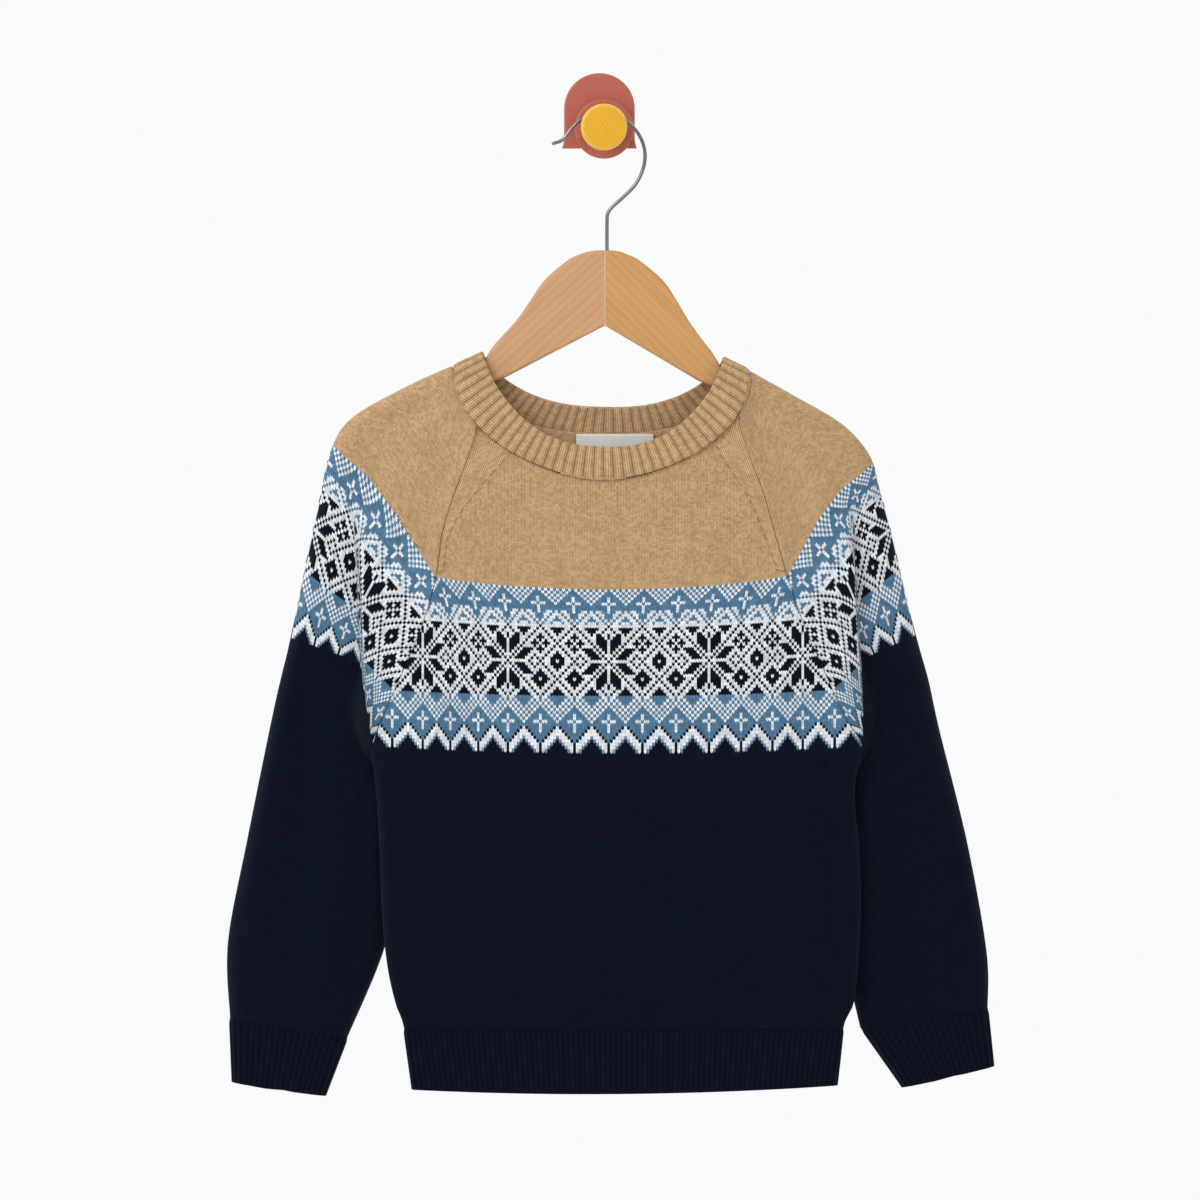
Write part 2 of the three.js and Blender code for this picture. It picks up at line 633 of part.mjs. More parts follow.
// Hem rib: the body's section drawn in towards its lower edge
const HEM_SAG = 4.2; // the middle of the hem hangs a little lower than its ends
const HEM_THIN = { middleY: SIDE_FOLD_Y + 7, share: 0.86 }; // the hem's lower edge is this flat
const HEM_DROP = { leftX: -127, rightX: 154.2, topLeftX: -132.5, topRightX: 158.5 };
const HEM_TILT = -1.4; // the right end of the hem hangs this much less than the middle

function hemLoop(share) {
  const points = bodySection().map((p) => {
    const u = (p.x - HEM_DROP.topLeftX) / (HEM_DROP.topRightX - HEM_DROP.topLeftX);
    const lowX = mix(HEM_DROP.leftX, HEM_DROP.rightX, u);
    const sag = (HEM_SAG * (1 - (2 * u - 1) ** 2) + HEM_TILT * (2 * u - 1)) * share;
    const z = p.z - SEAM_GAP - share * HEM_HEIGHT - sag;
    const lowY = mix(HEM_THIN.middleY, p.y, HEM_THIN.share);
    return new THREE.Vector3(mix(p.x, lowX, share), mix(p.y, lowY, share), z);
  });
  return closedLoop(points);
}

// Cuffs: the sleeve's last section carried down to the cuff's lower edge
const CUFF_END = {
  left: { outX: -245.8, outZ: -642, innerX: -184.5, innerZ: -651, thin: 0.8 },
  right: { outX: 257.8, outZ: -631.5, innerX: 197.5, innerZ: -645.5, thin: 0.8 },
};

function cuffLoop(side, share) {
  const row = sleeveGrid(side).grid[0];
  // Both cuffs are walked from left to right in front, so that their ribs stand out of the cloth.
  const points = side === 'left' ? row.slice(1).reverse() : row.slice(0, -1);
  const first = sleeveRow(side, 0);
  const start = new THREE.Vector2(first.outX, first.outZ);
  const end = new THREE.Vector2(first.seamX, first.seamZ);
  const { outX, outZ, innerX, innerZ, thin } = CUFF_END[side];
  const axis = end.clone().sub(start);
  const lowStart = new THREE.Vector2(outX, outZ);
  const lowAxis = new THREE.Vector2(innerX, innerZ).sub(lowStart);
  const moved = points.map((p) => {
    const from = new THREE.Vector2(p.x, p.z).sub(start);
    const u = from.dot(axis) / axis.lengthSq();
    const bow = from.cross(axis) / axis.length();
    const low = lowStart.clone().addScaledVector(lowAxis, u);
    low.y -= Math.abs(bow);
    const down = low.clone().sub(new THREE.Vector2(p.x, p.z));
    const gap = NECK_CLEAR / down.length();
    const at = new THREE.Vector2(p.x, p.z).addScaledVector(down, mix(gap, 1, share));
    return new THREE.Vector3(at.x, mix(p.y, mix(first.seamY, p.y, thin), share), at.y);
  });
  return closedLoop(moved);
}

// Neckband: a ribbed ring between the sewn loop and the free loop
const NECK_BULGE = 0.8; // how far its middle stands out

function neckBand() {
  const sewn = neckLoop(NECK.sewn);
  const free = neckLoop(NECK.free);
  const level = (share, bulge) => ({
    at: (turn) => {
      const p = sewn.at(wrapped(turn)).lerp(free.at(wrapped(turn)), share);
      const centre = new THREE.Vector3(NECK.sewn.middle, HANGER_Y, p.z);
      const outwards = p.clone().sub(centre).setZ(0).normalize();
      outwards.x *= 0.2;
      return p.addScaledVector(outwards, bulge);
    },
  });
  return ribbedTube([level(0, 0), level(0.5, NECK_BULGE), level(1, 0)], NECK_RIBS, [0.3, 0.7]);
}

// Label: a strip of the back panel's inner face, moved in
const LABEL = { left: -18.5, right: 33, top: -213.5, height: 17, columns: 10, clear: 0.35 };

function neckLabel() {
  const grid = [];
  for (const share of [1, 0.5, 0]) {
    const row = [];
    for (let i = 0; i <= LABEL.columns; i += 1) {
      const x = mix(LABEL.left, LABEL.right, i / LABEL.columns);
      const z = LABEL.top - share * LABEL.height;
      row.push(new THREE.Vector3(x, backDepth(x, z) - CLOTH - LABEL.clear - LABEL_WALL, z));
    }
    grid.push(row);
  }
  return clothWall(grid, 0, LABEL_WALL, 1);
}

// Wooden hanger: the top curve of each half, from the middle to the shoulder, then a straight lower edge
const HALF_TOP = {
  left: [[-8.6, -92.6], [-16.5, -95], [-24.4, -99], [-39.6, -112.2], [-48.8, -125.4], [-58, -138.6],
    [-70.6, -152.4], [-75, -158], [-78, -162.8], [-83, -167.4], [-100, -173], [-123.4, -184], [-142, -194.6]],
  right: [[9.2, -92.6], [16, -95], [23.8, -99], [39, -112], [48.2, -125.4], [56, -138.6],
    [66, -152.4], [71, -158.8], [75, -165], [79, -170.2], [96, -176.6], [110, -183.4], [131, -196]],
};
const MITRE_X = 0.6;
const CROWN_Z = -92;
const NOTCH_Z = -142; // where the two lower edges meet
const TIP = {
  left: { x: -139, z: -205.5, innerX: -65, innerZ: -176 },
  right: { x: 128, z: -207, innerX: 62, innerZ: -178.2 },
};
const TIP_RADIUS = 7;
const TIP_DROP = 3.5; // how far the shoulder end slopes before it turns under

function hangerHalf(side) {
  const sign = SIGN[side];
  const startX = MITRE_X + sign * (SEAM_GAP / 2);
  const tip = TIP[side];
  const shape = new THREE.Shape();
  shape.moveTo(startX, NOTCH_Z);
  shape.lineTo(startX, CROWN_Z);
  const top = HALF_TOP[side].map(([x, z]) => new THREE.Vector2(x, z));
  shape.splineThru(top);
  const from = top[top.length - 1];
  const far = sign * TIP_RADIUS;
  shape.bezierCurveTo(from.x + far, from.y - TIP_DROP, tip.x + far, tip.z, tip.x, tip.z);
  shape.lineTo(tip.innerX, tip.innerZ);
  shape.lineTo(startX, NOTCH_Z);
  const body = new THREE.ExtrudeGeometry(shape, {
    depth: WOOD_THICKNESS - 2 * WOOD_EDGE, bevelEnabled: true, bevelThickness: WOOD_EDGE,
    bevelSize: WOOD_EDGE, bevelOffset: -WOOD_EDGE, bevelSegments: 2, curveSegments: 2,
  });
  body.rotateX(Math.PI / 2);
  body.translate(0, HANGER_Y + WOOD_THICKNESS / 2 - WOOD_EDGE, 0);
  return body;
}

// A closed mesh as a solid for cutting, and the cut solid as a mesh again
function solidOf(geometry) {
  const plain = geometry.clone();
  plain.deleteAttribute('normal');
  plain.deleteAttribute('uv');
  const merged = mergeVertices(plain, 1e-4);
  const data = { numProp: 3, vertProperties: merged.getAttribute('position').array };
  return new wasm.Manifold(new wasm.Mesh({ ...data, triVerts: new Uint32Array(merged.getIndex().array) }));
}

function meshOf(solid) {
  const mesh = solid.getMesh();
  const geometry = new THREE.BufferGeometry();
  geometry.setAttribute('position', new THREE.BufferAttribute(mesh.vertProperties, 3));
  geometry.setIndex(new THREE.BufferAttribute(mesh.triVerts, 1));
  geometry.computeVertexNormals();
  return geometry;
}

// Steel wire: the open hook, the bend and the straight stem that ends in the wood
const WIRE_ROUTE = [
  [-33.4, -21.4], [-27.2, -18.9], [-22.4, -12.6], [-15.4, -5.6], [-8.6, -2.5], [-0.8, -1.75], [8, -3.2],
  [15.6, -7.4], [21.8, -13.6], [25.9, -21.6], [27.2, -30.4], [25.3, -39.9], [20.6, -48.8], [13, -56.7],
  [5.4, -63.6], [2.5, -68], [2, -75], [2, -92], [2, CROWN_Z - WIRE_DEPTH],
];
const STEM_X = 2;

function wire() {
  const route = new THREE.CatmullRomCurve3(
    WIRE_ROUTE.map(([x, z]) => new THREE.Vector3(x, HANGER_Y, z)), false, 'centripetal');
  const section = new THREE.Shape();
  section.absarc(0, 0, WIRE_RADIUS, 0, 2 * Math.PI);
  return new THREE.ExtrudeGeometry(section, {
    steps: 56, curveSegments: 4, bevelEnabled: false, extrudePath: route,
  });
}

function bore() {
  const radius = WIRE_RADIUS + SEAM_GAP;
  const hole = new THREE.CylinderGeometry(radius, radius, 2 * (WIRE_DEPTH + BORE_SPARE), 12);
  hole.rotateX(Math.PI / 2);
  hole.translate(STEM_X, HANGER_Y, CROWN_Z);
  return hole;
}

// Wall hook: an arched plate, a collar, a peg and a cap, all on the peg's axis
const PLATE = { middleX: -3, radius: 23.4, archZ: 2.5, bottomZ: -24, flare: 1.4, flareHeight: 8 };

function wallPlate() {
  const { middleX, radius, archZ, bottomZ, flare, flareHeight } = PLATE;
  const [leftX, rightX] = [middleX - radius, middleX + radius];
  const [bendZ, straightZ] = [bottomZ + flareHeight / 2, bottomZ + flareHeight];
  const shape = new THREE.Shape();
  shape.moveTo(leftX - flare, bottomZ);
  shape.lineTo(rightX + flare, bottomZ);
  shape.quadraticCurveTo(rightX, bendZ, rightX, straightZ);
  shape.lineTo(rightX, archZ);
  shape.absarc(middleX, archZ, radius, 0, Math.PI, false);
  shape.lineTo(leftX, straightZ);
  shape.quadraticCurveTo(leftX, bendZ, leftX - flare, bottomZ);
  const plate = new THREE.ExtrudeGeometry(shape, {
    depth: PLATE_DEPTH, bevelEnabled: false, curveSegments: 12,
  });
  plate.rotateX(Math.PI / 2);
  return plate;
}

function disc(radius, nearY, farY, segments) {
  const round = new THREE.CylinderGeometry(radius, radius, nearY - farY, segments);
  round.translate(0, (nearY + farY) / 2, PEG_Z);
  return round;
}

// The scene: one mesh for each piece, in its own colour
const COLOURS = {
  navy: { color: 0x0b1426, roughness: 0.95, metalness: 0 },
  camel: { color: 0xb9966a, roughness: 0.95, metalness: 0 },
  label: { color: 0xe6e6e2, roughness: 0.8, metalness: 0 },
  paleWood: { color: 0xd6a478, roughness: 0.55, metalness: 0 },
  warmWood: { color: 0xd9a25c, roughness: 0.55, metalness: 0 },
  steel: { color: 0x9a9a98, roughness: 0.25, metalness: 1 },
  terracotta: { color: 0xc06a58, roughness: 0.5, metalness: 0 },
  yellow: { color: 0xeeb41c, roughness: 0.5, metalness: 0 },
};

const part = new THREE.Group();

function add(name, geometry, colour) {
  const mesh = new THREE.Mesh(geometry, new THREE.MeshStandardMaterial(COLOURS[colour]));
  mesh.name = name;
  part.add(mesh);
}

add('front', clothWall(panelGrid('front'), 0, CLOTH, 1, panelEdges(-1)), 'navy');
add('back', clothWall(panelGrid('back'), 0, CLOTH, -1, panelEdges(1)), 'navy');
for (const side of ['left', 'right']) {
  const { grid, closedRows } = sleeveGrid(side);
  const edges = sleeveEdges(side, closedRows);
  add(`sleeve_${side}`, clothWall(grid, closedRows, CLOTH, SIGN[side], edges), 'navy');
  add(`cuff_${side}`, ribbedTube([cuffLoop(side, 1), cuffLoop(side, 0)], CUFF_RIBS, [0.5]), 'navy');
}
add('neck_rib', neckBand(), 'camel');
add('hem_rib', ribbedTube([hemLoop(1), hemLoop(0)], HEM_RIBS, [0.5]), 'navy');
add('neck_label', neckLabel(), 'label');
for (const side of ['left', 'right']) {
  const wood = meshOf(solidOf(hangerHalf(side)).subtract(solidOf(bore())));
  add(`hanger_half_${side}`, wood, side === 'left' ? 'paleWood' : 'warmWood');
}
add('hanger_wire', wire(), 'steel');
add('wall_plate', wallPlate(), 'terracotta');
const COLLAR_FRONT = -PLATE_DEPTH - COLLAR_DEPTH;
add('wall_collar', disc(COLLAR_RADIUS, -PLATE_DEPTH - SEAM_GAP, COLLAR_FRONT, 40), 'terracotta');
add('wall_peg', disc(PEG_RADIUS, COLLAR_FRONT - SEAM_GAP, -PEG_REACH, 24), 'terracotta');
add('peg_cap', disc(CAP_RADIUS, -PEG_REACH - SEAM_GAP, -PEG_REACH - CAP_DEPTH, 40), 'yellow');

export default part;
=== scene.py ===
# %% [markdown]
# A fair isle jumper on a wooden hanger
#
# The real object is a knitted raglan jumper: a camel yoke, a patterned chest band and a navy body,
# with ribbed neck, hem and cuffs. It hangs from a two-piece wooden hanger whose wire goes over a peg
# on the wall. The frame gives every piece's place. This script makes the fine surfaces: each sheet of
# cloth is a thin shell with its main folds, the ribs are real ribs, and every stitch of the band has
# its own face and its own yarn.

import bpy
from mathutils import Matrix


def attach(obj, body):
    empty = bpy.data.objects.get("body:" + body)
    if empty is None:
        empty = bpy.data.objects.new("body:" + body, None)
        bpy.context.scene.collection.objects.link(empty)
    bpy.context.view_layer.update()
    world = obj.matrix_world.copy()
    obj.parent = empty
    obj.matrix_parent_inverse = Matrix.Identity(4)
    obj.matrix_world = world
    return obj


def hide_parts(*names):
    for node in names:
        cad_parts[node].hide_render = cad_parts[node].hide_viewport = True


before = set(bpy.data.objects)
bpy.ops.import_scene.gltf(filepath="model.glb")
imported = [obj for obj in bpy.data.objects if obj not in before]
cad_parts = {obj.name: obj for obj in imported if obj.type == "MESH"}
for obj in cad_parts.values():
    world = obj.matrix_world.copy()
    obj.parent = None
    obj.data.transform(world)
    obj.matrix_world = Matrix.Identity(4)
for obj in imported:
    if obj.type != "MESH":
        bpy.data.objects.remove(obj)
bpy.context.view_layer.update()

import math

import bpy
import numpy as np
from mathutils import Vector

print(len(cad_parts), "nodes in the frame")

# %% [markdown]
# The camera looks straight at the jumper, level with the chest, from eight metres away through a
# long lens, so that the hem and the shoulders keep their true widths. It is made first because
# everything after it is judged in its view.

# %% Camera
CLOTH_PLANE_Y = -0.042
VIEW_CENTRE = (-0.00264, -0.3234)
VIEW_WIDTH = 0.792
DISTANCE = 8.0
SENSOR = 36.0

camera_data = bpy.data.cameras.new("camera")
camera_data.sensor_width = SENSOR
camera_data.lens = SENSOR * DISTANCE / VIEW_WIDTH
camera = bpy.data.objects.new("camera", camera_data)
camera.location = (VIEW_CENTRE[0], CLOTH_PLANE_Y - DISTANCE, VIEW_CENTRE[1])
camera.rotation_euler = (math.radians(90), 0, 0)
bpy.context.scene.collection.objects.link(camera)
bpy.context.scene.camera = camera
print("lens", round(camera_data.lens, 1), "mm")

# %% [markdown]
# The garment's form is written in millimetres, in the same frame as the solids: the wall is the
# plane y = 0, the jumper faces -Y and +Z is up. A table has named columns and one row for each
# section, and a smooth curve runs through the rows of each column.

# %% Tables and blends
MM = 0.001


def mix(a, b, t):
    return a + (b - a) * t


def smooth(t):
    s = np.clip(t, 0, 1)
    return s * s * (3 - 2 * s)


def rounded(t):
    """Quarter circle: 0 at the edge of a fold, 1 where the fold has become flat cloth."""
    return np.sqrt(1 - (1 - np.clip(t, 0, 1)) ** 2)


def table(columns, rows):
    """The named columns of some rows, each as an array."""
    return {name: np.array([row[i] for row in rows], float) for i, name in enumerate(columns.split())}


def column_at(rows, name, at):
    """A smooth value of one column at a fractional row."""
    values = rows[name]
    last = len(values) - 1
    i = np.clip(np.floor(at).astype(int), 0, last - 1)
    t = np.clip(at - i, 0, 1)

    def value(k):
        return values[np.clip(k, 0, last)]

    start, end = value(i), value(i + 1)
    start_slope, end_slope = (value(i + 1) - value(i - 1)) / 2, (value(i + 2) - value(i)) / 2
    t2, t3 = t**2, t**3
    return (
        start * (2 * t3 - 3 * t2 + 1)
        + start_slope * (t3 - 2 * t2 + t)
        + end * (3 * t2 - 2 * t3)
        + end_slope * (t3 - t2)
    )


def row_where(rows, name, value):
    """The fractional row at which a rising column reaches a value."""
    at = np.linspace(0, len(rows[name]) - 1, 600)
    return np.interp(value, column_at(rows, name, at), at)


# %% [markdown]
# The body hangs as two flat layers. The tables give its outline below the underarm and the depth of
# its front and back faces, and a few soft folds run down from the chest, because a jumper on a
# hanger is held only at the shoulders.

# %% Body form
CLOTH = 1.6
SEAM_GAP = 0.3
CENTRE_X = 4
HALF_WIDTH = 155
UNDERARM_Z = -419
HEM_TOP_Z = -606
SHOULDER_Z = -169.7
HANGER_Y = -25
SIDE_FOLD_Y = -36.5

BODY_SIDE = table("z left right", [
    (-646, -127, 154.5),
    (-606, -132.5, 158.5),
    (-590, -138, 165.2),
    (-565, -143.5, 168),
    (-530, -147, 170),
    (-490, -148.5, 169),
    (-455, -150.5, 166),
    (-436, -152.2, 167.5),
    (UNDERARM_Z, -153, 171),
])
FRONT_DEPTH = table("z middle side", [
    (-650, -34, -37),
    (-606, -37, -39),
    (-540, -41, -41.5),
    (-430, -43, -41),
    (-330, -43, -40.5),
    (-250, -42, -38),
    (-205, -39.5, -35),
    (-160, -36, -33.5),
])
BACK_DEPTH = table("z middle side", [
    (-650, -23, -33),
    (-606, -21, -33),
    (-540, -17, -33),
    (-430, -14, -32.5),
    (-385, -13, -24),
    (-340, -12.5, -15),
    (-250, -13, -13.5),
    (-205, -14.5, -15),
    (-160, -16, -16.5),
])
FOLD_COLUMNS = "top_x top_z low_x low_z width front back"
BODY_FOLDS = [dict(zip(FOLD_COLUMNS.split(), row)) for row in [
    (-118, -300, -122, -440, 16, 1.2, 0.8),
    (-96, -450, -104, -590, 20, -1.6, 1.6),
    (-40, -470, -28, -600, 24, 1.3, -1.5),
    (52, -460, 40, -596, 22, -1.2, 1.4),
    (112, -440, 122, -585, 18, 1.5, -1.4),
    (148, -470, 152, -590, 11, -1.6, 1),
]]
SIDE_ZONE = (36, 74)


def fold_weight(fold, x, z):
    """How strongly a fold is felt: 1 on its line, fading sideways and at both ends."""
    along = np.clip((fold["top_z"] - z) / (fold["top_z"] - fold["low_z"]), -0.4, 1.4)
    line_x = mix(fold["top_x"], fold["low_x"], along)
    across = np.exp(-(((x - line_x) / fold["width"]) ** 2))
    return across * smooth((along + 0.3) / 0.5) * smooth((1.3 - along) / 0.5)


def front_depth(x, z):
    at = row_where(FRONT_DEPTH, "z", z)
    share = np.clip(np.abs(x - CENTRE_X) / HALF_WIDTH, 0, 1) ** 2
    layer = mix(column_at(FRONT_DEPTH, "middle", at), column_at(FRONT_DEPTH, "side", at), share)
    return layer - sum(fold["front"] * fold_weight(fold, x, z) for fold in BODY_FOLDS)


def back_depth(x, z):
    at = row_where(BACK_DEPTH, "z", z)
    side = row_where(BODY_SIDE, "z", np.minimum(z, UNDERARM_Z))
    from_left = x - column_at(BODY_SIDE, "left", side)
    from_right = column_at(BODY_SIDE, "right", side) - x
    edge = np.minimum(from_left, from_right)
    inner = smooth((edge - SIDE_ZONE[0]) / (SIDE_ZONE[1] - SIDE_ZONE[0]))
    folds = sum(fold["back"] * fold_weight(fold, x, z) for fold in BODY_FOLDS)
    near, deep = column_at(BACK_DEPTH, "side", at), column_at(BACK_DEPTH, "middle", at)
    return mix(near, deep, inner) + folds * inner


print("chest depth", float(back_depth(0.0, -400.0) - front_depth(0.0, -400.0)), "mm")

# %% [markdown]
# The neckline is one loop that sinks in front, less behind, and turns over the wood at each
# shoulder. The same formula gives the line where the band is sewn on and the band's free edge.

# %% Neckline form
NECK = {
    "sewn": dict(
        middle=-1.5, half=98, top=SHOULDER_Z, front_y=-43, back_y=-13.2, front_drop=73.8, back_drop=44,
        front_power=1.5, front_root=0.45, back_power=2.2, back_root=0.7,
    ),
    "free": dict(
        middle=-0.6, half=79.9, top=-161.4, front_y=-41, back_y=-15, front_drop=61.1, back_drop=34.6,
        front_power=2.2, front_root=0.72, back_power=2.2, back_root=0.72,
    ),
}
NECK_TILT = -1.8
NECK_TURN = 2.6
OVER_SHARE = 0.52
OVER_FALL = 0.11
NECK_CLEAR = 0.75
NECK_SOFT = 0.08  # rounds the lowest point of the neckline


def neck_point(loop, face, u):
    """Points of a neck loop. u runs from -1, left, to 1, right."""
    soft = (np.sqrt(u**2 + NECK_SOFT**2) - NECK_SOFT) / (math.sqrt(1 + NECK_SOFT**2) - NECK_SOFT)
    rest = np.maximum(0, 1 - soft ** loop[face + "_power"])
    fall = rest ** loop[face + "_root"]
    turn = OVER_SHARE * rounded(fall / OVER_FALL) + (1 - OVER_SHARE) * (1 - (1 - fall) ** NECK_TURN)
    y = mix(HANGER_Y, loop[face + "_y"], turn)
    z = loop["top"] + NECK_TILT * u - loop[face + "_drop"] * fall
    return np.stack([loop["middle"] + loop["half"] * u, y, z], axis=-1)


def even_walk(points, count):
    """A closed line of points, walked again in even steps."""
    closed = np.vstack([points, points[:1]])
    lengths = np.concatenate([[0], np.cumsum(np.linalg.norm(np.diff(closed, axis=0), axis=1))])
    places = np.linspace(0, lengths[-1], count, endpoint=False)
    return np.stack([np.interp(places, lengths, closed[:, axis]) for axis in range(3)], axis=-1)


def neck_loop(loop, count):
    """A neck loop from the left shoulder over the front to the right one and back behind."""
    turn = np.linspace(0, 2 * math.pi, 800, endpoint=False)
    u = -np.cos(turn)
    in_front = (turn < math.pi)[:, None]
    points = np.where(in_front, neck_point(loop, "front", u), neck_point(loop, "back", u))
    return even_walk(points, count)


# %% [markdown]
# Each sleeve is a tube that opens between the two raglan seams above the underarm. Its sections run
# from the front seam over the lips of the crease, where the body laps over the sleeve, round the
# outer fold and back to the rear seam. The tables follow the two sleeves, which hang differently.

# %% Sleeve sections
SLEEVE_COLUMNS = (
    "out_x out_z out_y low_x low_z low_y high_x high_z high_y "
    "seam_x seam_z seam_y back_x back_z back_y rest_y"
)
F = math.nan  # the front plane of the body, worked out from its depth table
LEFT_SLEEVE = [
    (-247.6, -599, -18, -219, -603, -25, -196, -608, -25, -169.5, -612, -18, -169.5, -612, -18, -11),
    (-249, -550, -18, -214, -554, -27, -180, -557, -27, -146, -556, -18, -146, -556, -18, -8.5),
    (-236, -481, -18, -199, -490, -28, -165, -500, -28, -136, -508, -18, -136, -508, -18, -7),
    (-221, -407, -18, -184, -421, -29, -156, -440, -29, -133, -459, -19, -133, -459, -19, -7),
    (-214.6, -378, -18, -172, -392, -29.5, -158, -421, -30, -152, -432, -25, -152, -432, -25, -7),
    (-209, -355, -18, -162, -369, -30, -156, -403, F, -153, -419, SIDE_FOLD_Y, -153, -419, SIDE_FOLD_Y, -7),
    (-202, -322, -18, -163, -336, -30, -158, -371, F, -142, -391, F, -143, -389, -25, -7.5),
    (-195, -287, -18.5, -164, -302, -30, -159.5, -328, F, -130, -364, F, -131, -360, -17, -8),
    (-188, -255, -19.5, -165, -269, -31, -160, -285, F, -119, -337, F, -121, -331, -13.5, -9),
    (-181.3, -226, -21, -157, -252, -34, -140, -275, F, -111, -308, F, -111, -302, -13, -11),
    (-167.5, -203.5, -24, -149, -215, -34.5, -135, -234, F, -106, -276, F, -102, -264, -13, -14),
    (-131, -182.3, -25, -122, -195, -34.5, -115, -209, F, -95, -243, F, -92, -228, -13.5, -15.5),
    (-100, -167.8, -25, -98, -180, -35, -94, -195, F, -83, -215, F, -82, -195, -14, -16),
]
RIGHT_SLEEVE = [
    (254, -593, -18, 226, -597, -25, 199, -602, -25, 169.5, -606, -18, 169.5, -606, -18, -11),
    (253.3, -556, -18, 221, -559, -27, 190, -562, -27, 159.5, -562, -18, 159.5, -562, -18, -8.5),
    (240.5, -484, -18, 206, -493, -28, 178, -502, -28, 151, -510, -18, 151, -510, -18, -7),
    (222, -409, -18, 192, -421, -29, 170, -440, -29, 152, -459, -19, 152, -459, -19, -7),
    (215, -377, -18, 182, -389, -29.5, 174, -420, -30, 169, -432, -25, 169, -432, -25, -7),
    (208, -352, -18, 171, -367, -30, 171.5, -404, F, 171, -419, SIDE_FOLD_Y, 171, -419, SIDE_FOLD_Y, -7),
    (199, -317, -18, 168.5, -335, -30, 169.5, -378, F, 159, -400, F, 159, -391, -25, -7.5),
    (191, -281, -18.5, 166, -299, -30, 166.5, -335, F, 146, -371, F, 147, -363, -17, -8),
    (183, -252, -19.5, 165, -269, -31, 163, -291, F, 132, -339, F, 135, -335, -13.5, -9),
    (176, -228, -21, 158, -252, -34, 143, -272, F, 121, -307, F, 123, -304, -13, -11),
    (157.5, -207, -24, 144, -216, -34.5, 133, -234, F, 112, -276, F, 114, -265, -13, -14),
    (125, -187.8, -25, 119, -199, -34.5, 114, -212, F, 103, -246, F, 100, -228, -13.5, -15.5),
    (96, -171.5, -25, 94, -182, -35, 91, -195, F, 88, -216, F, 85, -195, -14, -16),
]
SLEEVE_FOLD_COLUMNS = "top_x top_z low_x low_z width deep"
SLEEVE_FOLDS = {
    side: [dict(zip(SLEEVE_FOLD_COLUMNS.split(), row)) for row in rows]
    for side, rows in {
        "left": [
            (-196, -375, -200, -500, 9, 2.4),
            (-226, -440, -236, -560, 10, -1.4),
            (-176, -500, -190, -590, 11, -1.6),
        ],
        "right": [
            (196, -370, 204, -480, 10, -1.8),
            (212, -545, 214, -597, 8, 2.6),
            (184, -470, 190, -560, 10, 1.6),
        ],
    }.items()
}
UNDERARM_ROW = 5
LAST_ROW = len(LEFT_SLEEVE) - 1
print(len(LEFT_SLEEVE), "sections to a sleeve, number", UNDERARM_ROW, "at the underarm")

# %% [markdown]
# A point of a sleeve is found from its section and from how far round it lies. The cloth is rounded
# at the outer fold and at the underarm, flat between them, and lies on the body's plane beside the
# raglan seam. Its last rows bend until they follow the neckband.

# %% Sleeve form
SIGN = {"left": -1, "right": 1}
OUT_RADIUS = 10
INNER_RADIUS = 8
SEAM_BLEND = 16
BACK_BLEND = 34
FOLD_FADE = 14


def sleeve_table(rows):
    """A sleeve's sections, with the depths left open filled in from the body's front."""
    made = table(SLEEVE_COLUMNS, rows)
    for edge in ("high", "seam"):
        plane = front_depth(made[edge + "_x"], made[edge + "_z"])
        made[edge + "_y"] = np.where(np.isnan(made[edge + "_y"]), plane, made[edge + "_y"])
    return made


SLEEVES = {"left": sleeve_table(LEFT_SLEEVE), "right": sleeve_table(RIGHT_SLEEVE)}
CORNERS = ("seam", "high", "low", "out", "back")  # of a section, in their order round the tube
NECK_SHARES = (0, 0.55, 0.8, 1, 2)  # where those corners arrive along the neckband


def follow_neck(side, at, around, points):
    """The last rows of a sleeve bend until they lie along the neckband."""
    share = smooth(at - (LAST_ROW - 1))[..., None]
    top = {name: values[-1] for name, values in SLEEVES[side].items()}
    s = np.interp(around, range(len(CORNERS)), NECK_SHARES)
    in_front = s <= 1
    edge = np.where(in_front, top["seam_x"], top["back_x"])
    edge_u = np.clip(np.abs((edge - NECK["sewn"]["middle"]) / NECK["sewn"]["half"]), 0, 1)
    u = SIGN[side] * np.cos(np.arccos(edge_u) * (1 - np.where(in_front, s, 2 - s)))
    front, back = neck_point(NECK["sewn"], "front", u), neck_point(NECK["sewn"], "back", u)
    along = np.where(in_front[..., None], front, back)
    along = along + np.array([SIGN[side] * NECK_CLEAR, 0, -NECK_CLEAR])
    return np.where(share > 0, mix(points, along, share), points)


